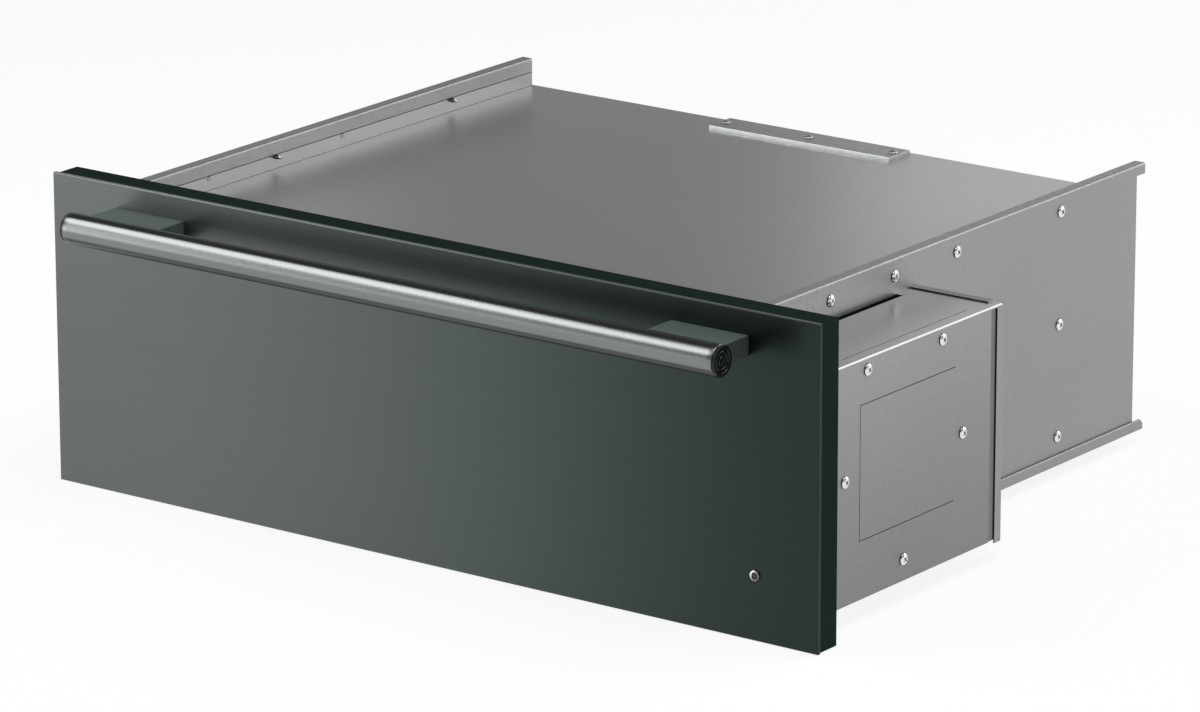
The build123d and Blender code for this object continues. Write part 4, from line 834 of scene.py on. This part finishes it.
keypad_film = new_finish("keypad_film", {"Specular IOR Level": 0.4})
keypad_cloud = drawn_noise(keypad_film, 800.0, 2.0)
keypad_depth = axes_of(keypad_film, "Object")["Y"]
keypad_rise = ranged(keypad_film, keypad_depth, 1.0, 0.0, key_face, film_face)
keypad_tone = tinted(keypad_film, keypad_rise, (0.035, 0.037, 0.040), (0.30, 0.31, 0.32), 0.1, 0.9)
surfaced(keypad_film, keypad_tone, (0.40, 0.55), keypad_cloud, 0.00002, 0.5, 0.0004)
dressed("keypad", keypad_film)


def clear_plastic(name, tint):
    """Clear moulded plastic with the faint waves of its mould."""
    material = new_finish(name, {"Transmission Weight": 0.85, "IOR": 1.49})
    wave = drawn_noise(material, 250.0, 2.0)
    colour = tinted(material, wave, [0.92 * value for value in tint], tint)
    return surfaced(material, colour, (0.06, 0.16), wave, 0.00003, 0.4)


dressed("indicator_lamp", clear_plastic("lamp_body", (0.90, 0.86, 0.80)))

# ---------------------------------------------------------------- wiring
# Heat-proof leads in a glass-fibre sleeve, from the board along the wall to the element, and the
# flat cable of the keypad.
sleeve = new_finish("glass_sleeve", {"Specular IOR Level": 0.3, "Sheen Weight": 0.2})
sleeve_braid = drawn_noise(sleeve, 1400.0, 2.0)
sleeve_cloud = drawn_noise(sleeve, 60.0, 2.0, 2.0)
sleeve_body = tinted(sleeve, sleeve_cloud, (0.66, 0.65, 0.60), (0.78, 0.77, 0.73))
surfaced(sleeve, sleeve_body, (0.60, 0.85), sleeve_braid, 0.0002, 0.7)
dressed("wiring_harness", sleeve)

# ---------------------------------------------------------------- ball slides
# Roll-formed zinc-plated sections on each side, full extension: rail on the liner, middle member,
# and the runner on the tub, with two pressed cages of steel balls between them.
slide_zinc = zinc_plate("slide_zinc", (0.56, 0.57, 0.58), (0.22, 0.34), 120.0, 4.0)
cage_zinc = zinc_plate("cage_zinc", (0.46, 0.46, 0.45), (0.20, 0.30), 160.0, 5.0)
for side in ("left", "right"):
    for section in ("slide_rail_", "slide_middle_", "slide_runner_"):
        dressed(section + side, slide_zinc)
    for cage in ("outer_ball_cage_", "inner_ball_cage_"):
        dressed(cage + side, cage_zinc)
runner_zinc = zinc_plate("runner_screw_zinc", (0.60, 0.60, 0.60), (0.2, 0.3), 400.0, 6.0)
dressed("runner_screws", runner_zinc)

# ---------------------------------------------------------------- drawer tub and wire rack
# A deep-drawn tub of satin stainless with three pressed beads in its floor, and a rack of chromed
# wire welded to a frame that stands in it on four feet.
dressed("drawer_tub", mill_steel("tub_stainless", 0.56, "Y", (1.0, 0.99, 0.975), (0.28, 0.33), 12.0,
                                 grain=0.03))
rack_chrome = new_finish("rack_chrome", {"Metallic": 1.0})
rack_wave = drawn_noise(rack_chrome, 300.0, 3.0)
rack_body = tinted(rack_chrome, rack_wave, (0.58, 0.59, 0.60), (0.72, 0.73, 0.74))
surfaced(rack_chrome, rack_body, (0.08, 0.20), rack_wave, 0.00003, 0.5)
dressed("wire_rack", rack_chrome)

# ---------------------------------------------------------------- front panel
# Dark brushed stainless skin with a small return all round, on a folded body painted green-black.
# The skin is ground along its width. Painted light makes it lighter at the left and darker at the
# right, and a painted highlight runs along its rounded upper edge. Painted shade makes the body's
# top darker than its sides. A plate closes the rear.
brush_painted_dark = (0.0255, 0.0375, 0.0340)
brush_painted_middle = (0.083, 0.103, 0.096)
brush_painted_light = (0.139, 0.152, 0.147)
painted_edge_highlight = (0.150, 0.168, 0.160)
fade_left = -0.30
fade_right = 0.42
painted_side_tone = 1.06
painted_top_shade = (0.36, 0.52, 0.50)


def brushed(name, axis, spread):
    """Brushed metal: its shine is spread across fine lines that run round or along one axis."""
    material = new_finish(name, {
        "Metallic": 1.0, "Anisotropic": spread, "Anisotropic Rotation": 0.25,
    })
    tangent = material.node_tree.nodes.new("ShaderNodeTangent")
    tangent.direction_type = "RADIAL"
    tangent.axis = axis
    linked(material, tangent.outputs["Tangent"], "Tangent")
    return material


skin = brushed("front_brushed_steel", "Z", 0.35)
hair = drawn_noise(skin, (9.0, 9.0, 2600.0), 3.0)
streak = drawn_noise(skin, (1.5, 1.5, 420.0), 3.0, 2.0)
# Painted light and shade: the skin's colour runs from light at the left to dark at the right.
across = ranged(skin, axes_of(skin, "Object")["X"], 1.0, 0.0, fade_left, fade_right)
across.node.interpolation_type = "SMOOTHSTEP"
skin_body = tinted(skin, across, brush_painted_dark, brush_painted_light, 0.0, 1.0, ((0.5, brush_painted_middle),))
skin_body = multiplied(skin, skin_body, tinted(skin, hair, 0.93, 1.0))
skin_body = multiplied(skin, skin_body, tinted(skin, streak, 0.975, 1.0))
skin_faces = axes_of(skin, "Normal")
# Painted highlight along the rounded upper edge, where it looks up.
rounded = ranged(skin, combined(skin, "PINGPONG", skin_faces["Y"], 0.5), 0.0, 1.0, 0.34, 0.44)
looks_up = ranged(skin, skin_faces["Z"], 0.0, 1.0, 0.05, 0.40)
painted_highlight = skin.node_tree.nodes.new("ShaderNodeMix")
painted_highlight.data_type = "RGBA"
painted_highlight.inputs["B"].default_value = (*painted_edge_highlight, 1)
upper_edge = combined(skin, "MULTIPLY", rounded, looks_up)
skin.node_tree.links.new(upper_edge, painted_highlight.inputs["Factor"])
skin.node_tree.links.new(skin_body, painted_highlight.inputs["A"])
linked(skin, painted_highlight.outputs["Result"], "Base Color")
linked(skin, ranged(skin, streak, 0.29, 0.31), "Roughness")
relief(skin, hair, 0.000006, 0.3)
dressed("front_skin", skin)

paint = new_finish("green_black_paint", {"Specular IOR Level": 0.015})
paint_cloud = drawn_noise(paint, (6.0, 30.0, 30.0), 3.0)
paint_peel = drawn_noise(paint, 600.0, 2.0, 2.0)
paint_body = tinted(paint, paint_cloud, (0.0080, 0.0175, 0.0148), (0.0105, 0.0215, 0.0182))
# Painted shade: faces that look up are darker than the sides.
painted_top_shading = tinted(paint, axes_of(paint, "Normal")["Z"], painted_side_tone, painted_top_shade, 0.4, 0.9)
paint_body = multiplied(paint, paint_body, painted_top_shading)
surfaced(paint, paint_body, (0.55, 0.68), paint_peel, 0.00003, 0.4, 0.0005)
dressed("front_body", paint)
dressed("front_back_plate", zinc_plate("back_plate_zinc", shift=7.0))

# ---------------------------------------------------------------- gasket
# A hollow black silicone seal round the opening, pushed on the panel's rear plate. It is soft and
# dull, with the faint lines of its die.
silicone = new_finish("gasket_silicone", {"Specular IOR Level": 0.35, "Sheen Weight": 0.15})
silicone_fine = drawn_noise(silicone, 500.0, 3.0)
silicone_body = tinted(silicone, silicone_fine, (0.014, 0.014, 0.015), (0.028, 0.028, 0.029))
surfaced(silicone, silicone_body, (0.60, 0.78), silicone_fine, 0.00006, 0.6)
dressed("drawer_gasket", silicone)

# ---------------------------------------------------------------- handle bar
# A round bar of brushed stainless with fine turned ribs between its posts and plain rounded ends.
# Painted shade darkens it along its top and its underside.
rib_pitch = 0.0022
rib_rise = 0.00002
rib_half = 0.236
rib_run_out = 4
bar_turns = 72
end_round = 0.0006
end_face = 0.003
end_steps = 16
bar_painted_shade = (0.30, 0.30, 0.305)

bar_low, bar_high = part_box("handle_bar")
bar_middle = (bar_low + bar_high) / 2
bar_radius = (bar_high.z - bar_low.z) / 2
bar_half = (bar_high.x - bar_low.x) / 2
outline = [
    (bar_radius - end_face, -bar_half),
    (bar_radius - end_round, -bar_half),
    (bar_radius - end_round * 0.3, -bar_half + end_round * 0.3),
    (bar_radius, -bar_half + end_round),
]
for step in range(1, end_steps):
    outline.append((bar_radius, -bar_half + (bar_half - rib_half) * step / end_steps))
outline.append((bar_radius, -rib_half))
far_end = [(radius, -height) for radius, height in reversed(outline)]
ribs = int(2 * rib_half / rib_pitch)
for rib in range(ribs):
    rise = rib_rise * min(1.0, rib / rib_run_out, (ribs - 1 - rib) / rib_run_out)
    for share in (0.0, 0.25, 0.5, 0.75):
        height = -rib_half + 2 * rib_half * (rib + share + 0.125) / ribs
        outline.append((bar_radius - rise * (1 - math.cos(2 * math.pi * share)), height))
bar_points, bar_faces = turned(outline + far_end, bar_turns, closed=True)
lay = Matrix.Translation(bar_middle) @ Matrix.Rotation(math.pi / 2, 4, "Y")
handle_tube = piece_from("handle_ribbed_bar", laid(lay, bar_points), bar_faces)
handle_tube.data.set_sharp_from_angle(angle=math.radians(50))

bar_steel = brushed("bar_brushed_steel", "X", 0.6)
bar_hair = drawn_noise(bar_steel, (2600.0, 6.0, 6.0), 2.0)
bar_cloud = drawn_noise(bar_steel, 4.0, 1.0, 2.0)
bar_body = tinted(bar_steel, bar_cloud, (0.208, 0.224, 0.216), (0.225, 0.242, 0.233))
# Painted shade by the way the face looks: dark along the top and along the underside.
bar_round = ranged(bar_steel, axes_of(bar_steel, "Normal")["Z"], 0.0, 1.0, -1.0, 1.0)
bar_painted_shading = tinted(bar_steel, bar_round, bar_painted_shade, bar_painted_shade, 0.10, 0.99,
                  ((0.28, bar_painted_shade), (0.345, 1.0), (0.90, 1.0), (0.945, bar_painted_shade)))
bar_body = multiplied(bar_steel, bar_body, tinted(bar_steel, bar_hair, 0.96, 1.0))
bar_body = multiplied(bar_steel, bar_body, bar_painted_shading)
surfaced(bar_steel, bar_body, (0.27, 0.32), bar_hair, 0.000004, 0.12)
handle_tube.data.materials.append(bar_steel)
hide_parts("handle_bar")
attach(handle_tube, "drawer")

# ---------------------------------------------------------------- handle posts and bolts
# Two block posts of satin steel under a dark clear coat, each held from behind the skin by two
# zinc-plated bolts. Painted shade makes their sides darker than their tops, on the right post more.
post_painted_shades = {"left": (0.86, 0.98), "right": (0.66, 1.0)}

for side, (side_painted_shade, top_painted_tone) in post_painted_shades.items():
    post = new_finish("post_satin_coat_" + side, {"Metallic": 0.25, "Specular IOR Level": 0.3})
    post_cloud = drawn_noise(post, (12.0, 60.0, 60.0), 2.0)
    post_fine = drawn_noise(post, (30.0, 1200.0, 1200.0), 2.0, 2.0)
    post_body = tinted(post, post_cloud, (0.082, 0.110, 0.103), (0.092, 0.122, 0.115))
    post_body = multiplied(post, post_body, tinted(post, post_fine, 0.95, 1.0))
    # Painted shade: sides darker than tops.
    post_painted_shade = tinted(post, axes_of(post, "Normal")["Z"], side_painted_shade, top_painted_tone, 0.4, 0.9)
    post_body = multiplied(post, post_body, post_painted_shade)
    surfaced(post, post_body, (0.42, 0.52), post_fine, 0.00001, 0.4, 0.0006)
    dressed("handle_post_" + side, post)
dressed("handle_bolts", zinc_plate("bolt_zinc", (0.5, 0.5, 0.5), (0.25, 0.35), 300.0, 8.0))

# ---------------------------------------------------------------- handle end caps
# Turned plugs with a black chromed face of shallow rings, pressed into the bar's ends on a thinner
# spigot.
cap_radius = (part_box("handle_cap_left")[1].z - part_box("handle_cap_left")[0].z) / 2
cap_profile = (
    (0.0002, -0.0009), (0.0022, -0.0009), (0.0026, -0.0005), (0.0034, -0.0005),
    (0.0038, -0.0010), (0.0060, -0.0010), (0.0065, -0.0004), (0.0074, -0.0004),
    (0.0079, -0.0009), (0.0092, -0.0009), (0.0098, -0.0002), (cap_radius - 0.0009, 0.0),
    (cap_radius - 0.0002, -0.0004), (cap_radius, -0.0010), (cap_radius, -0.0018),
    (cap_radius - 0.0006, -0.0024), (0.0090, -0.0024), (0.0090, -0.0116), (0.0084, -0.0124),
)
cap_turns = 64

cap_black = new_finish("cap_black_chrome", {"Metallic": 0.6, "Specular IOR Level": 0.5})
cap_fine = drawn_noise(cap_black, (20.0, 1200.0, 1200.0), 2.0)
cap_body = tinted(cap_black, cap_fine, (0.010, 0.010, 0.011), (0.022, 0.022, 0.024))
surfaced(cap_black, cap_body, (0.18, 0.30), cap_fine, 0.00002, 0.4)
cap_points, cap_faces = turned(cap_profile, cap_turns, closed=True)
cap_faces = [tuple(reversed(face)) for face in cap_faces]
for side, sense in (("left", -1), ("right", 1)):
    cap_low, cap_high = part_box("handle_cap_" + side)
    outer = cap_high.x if sense > 0 else cap_low.x
    lay = (
        Matrix.Translation((outer, bar_middle.y, bar_middle.z))
        @ Matrix.Rotation(sense * math.pi / 2, 4, "Y")
    )
    cap = piece_from("handle_end_cap_" + side, laid(lay, cap_points), cap_faces)
    cap.data.set_sharp_from_angle(angle=math.radians(40))
    cap.data.materials.append(cap_black)
    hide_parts("handle_cap_" + side)
    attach(cap, "drawer")

# ---------------------------------------------------------------- indicator light
# A small chromed ring pressed into the front, with the clear end of a light pipe set in it. A
# painted highlight makes the ring bright at its upper left, painted shade darkens it to the right
# and downwards, and the lamp is off.
ring_middle = 0.00358
ring_half = 0.00083
ring_rise = 0.0005
ring_wall = 0.0010
ring_steps = 16
ring_turns = 64
ring_reach = 0.0044
bezel_rise = 0.0016
barrel_reach = 0.0019
barrel_radius = 0.0037

bezel_low, bezel_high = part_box("indicator_bezel")
bezel_middle = (bezel_low + bezel_high) / 2
bezel = new_finish("bezel_chrome", {"Metallic": 1.0})
bezel_fine = drawn_noise(bezel, 900.0, 2.0)
bezel_body = tinted(bezel, bezel_fine, (0.86, 0.87, 0.865), (0.93, 0.94, 0.935))
# Painted highlight and shade: the chrome darkens to the right and downwards across the ring.
for axis, middle, *run in (
    ("X", bezel_middle.x, 1.0, (0.22, 0.23, 0.225), 0.20, 0.85),
    ("Z", bezel_middle.z, (0.26, 0.27, 0.265), 1.0, 0.05, 0.60),
):
    place = axes_of(bezel, "Object")[axis]
    along = ranged(bezel, place, 0.0, 1.0, middle - ring_reach, middle + ring_reach)
    bezel_body = multiplied(bezel, bezel_body, tinted(bezel, along, *run))
surfaced(bezel, bezel_body, (0.18, 0.28), bezel_fine, 0.00001, 0.4)

ring_outline = []
for step in range(ring_steps + 1):
    angle = math.pi * step / ring_steps
    ring_outline.append((ring_middle + ring_half * math.cos(angle),
                         ring_wall + ring_rise * math.sin(angle)))
ring_outline += [
    (ring_middle - ring_half, -barrel_reach), (barrel_radius, -barrel_reach),
    (barrel_radius, 0.0), (ring_middle + ring_half, 0.0),
]
ring_points, ring_faces = turned(ring_outline, ring_turns)
last = (len(ring_outline) - 1) * ring_turns
for turn in range(ring_turns):
    after = (turn + 1) % ring_turns
    ring_faces.append((last + turn, last + after, after, turn))
lay = (
    Matrix.Translation((bezel_middle.x, bezel_low.y + bezel_rise, bezel_middle.z))
    @ Matrix.Rotation(math.pi / 2, 4, "X")
)
bezel_ring = piece_from("indicator_ring", laid(lay, ring_points), ring_faces)
bezel_ring.data.set_sharp_from_angle(angle=math.radians(50))
bezel_ring.data.materials.append(bezel)
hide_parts("indicator_bezel")
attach(bezel_ring, "drawer")
dressed("indicator_lens", clear_plastic("lens_smoke", (0.16, 0.17, 0.17)))
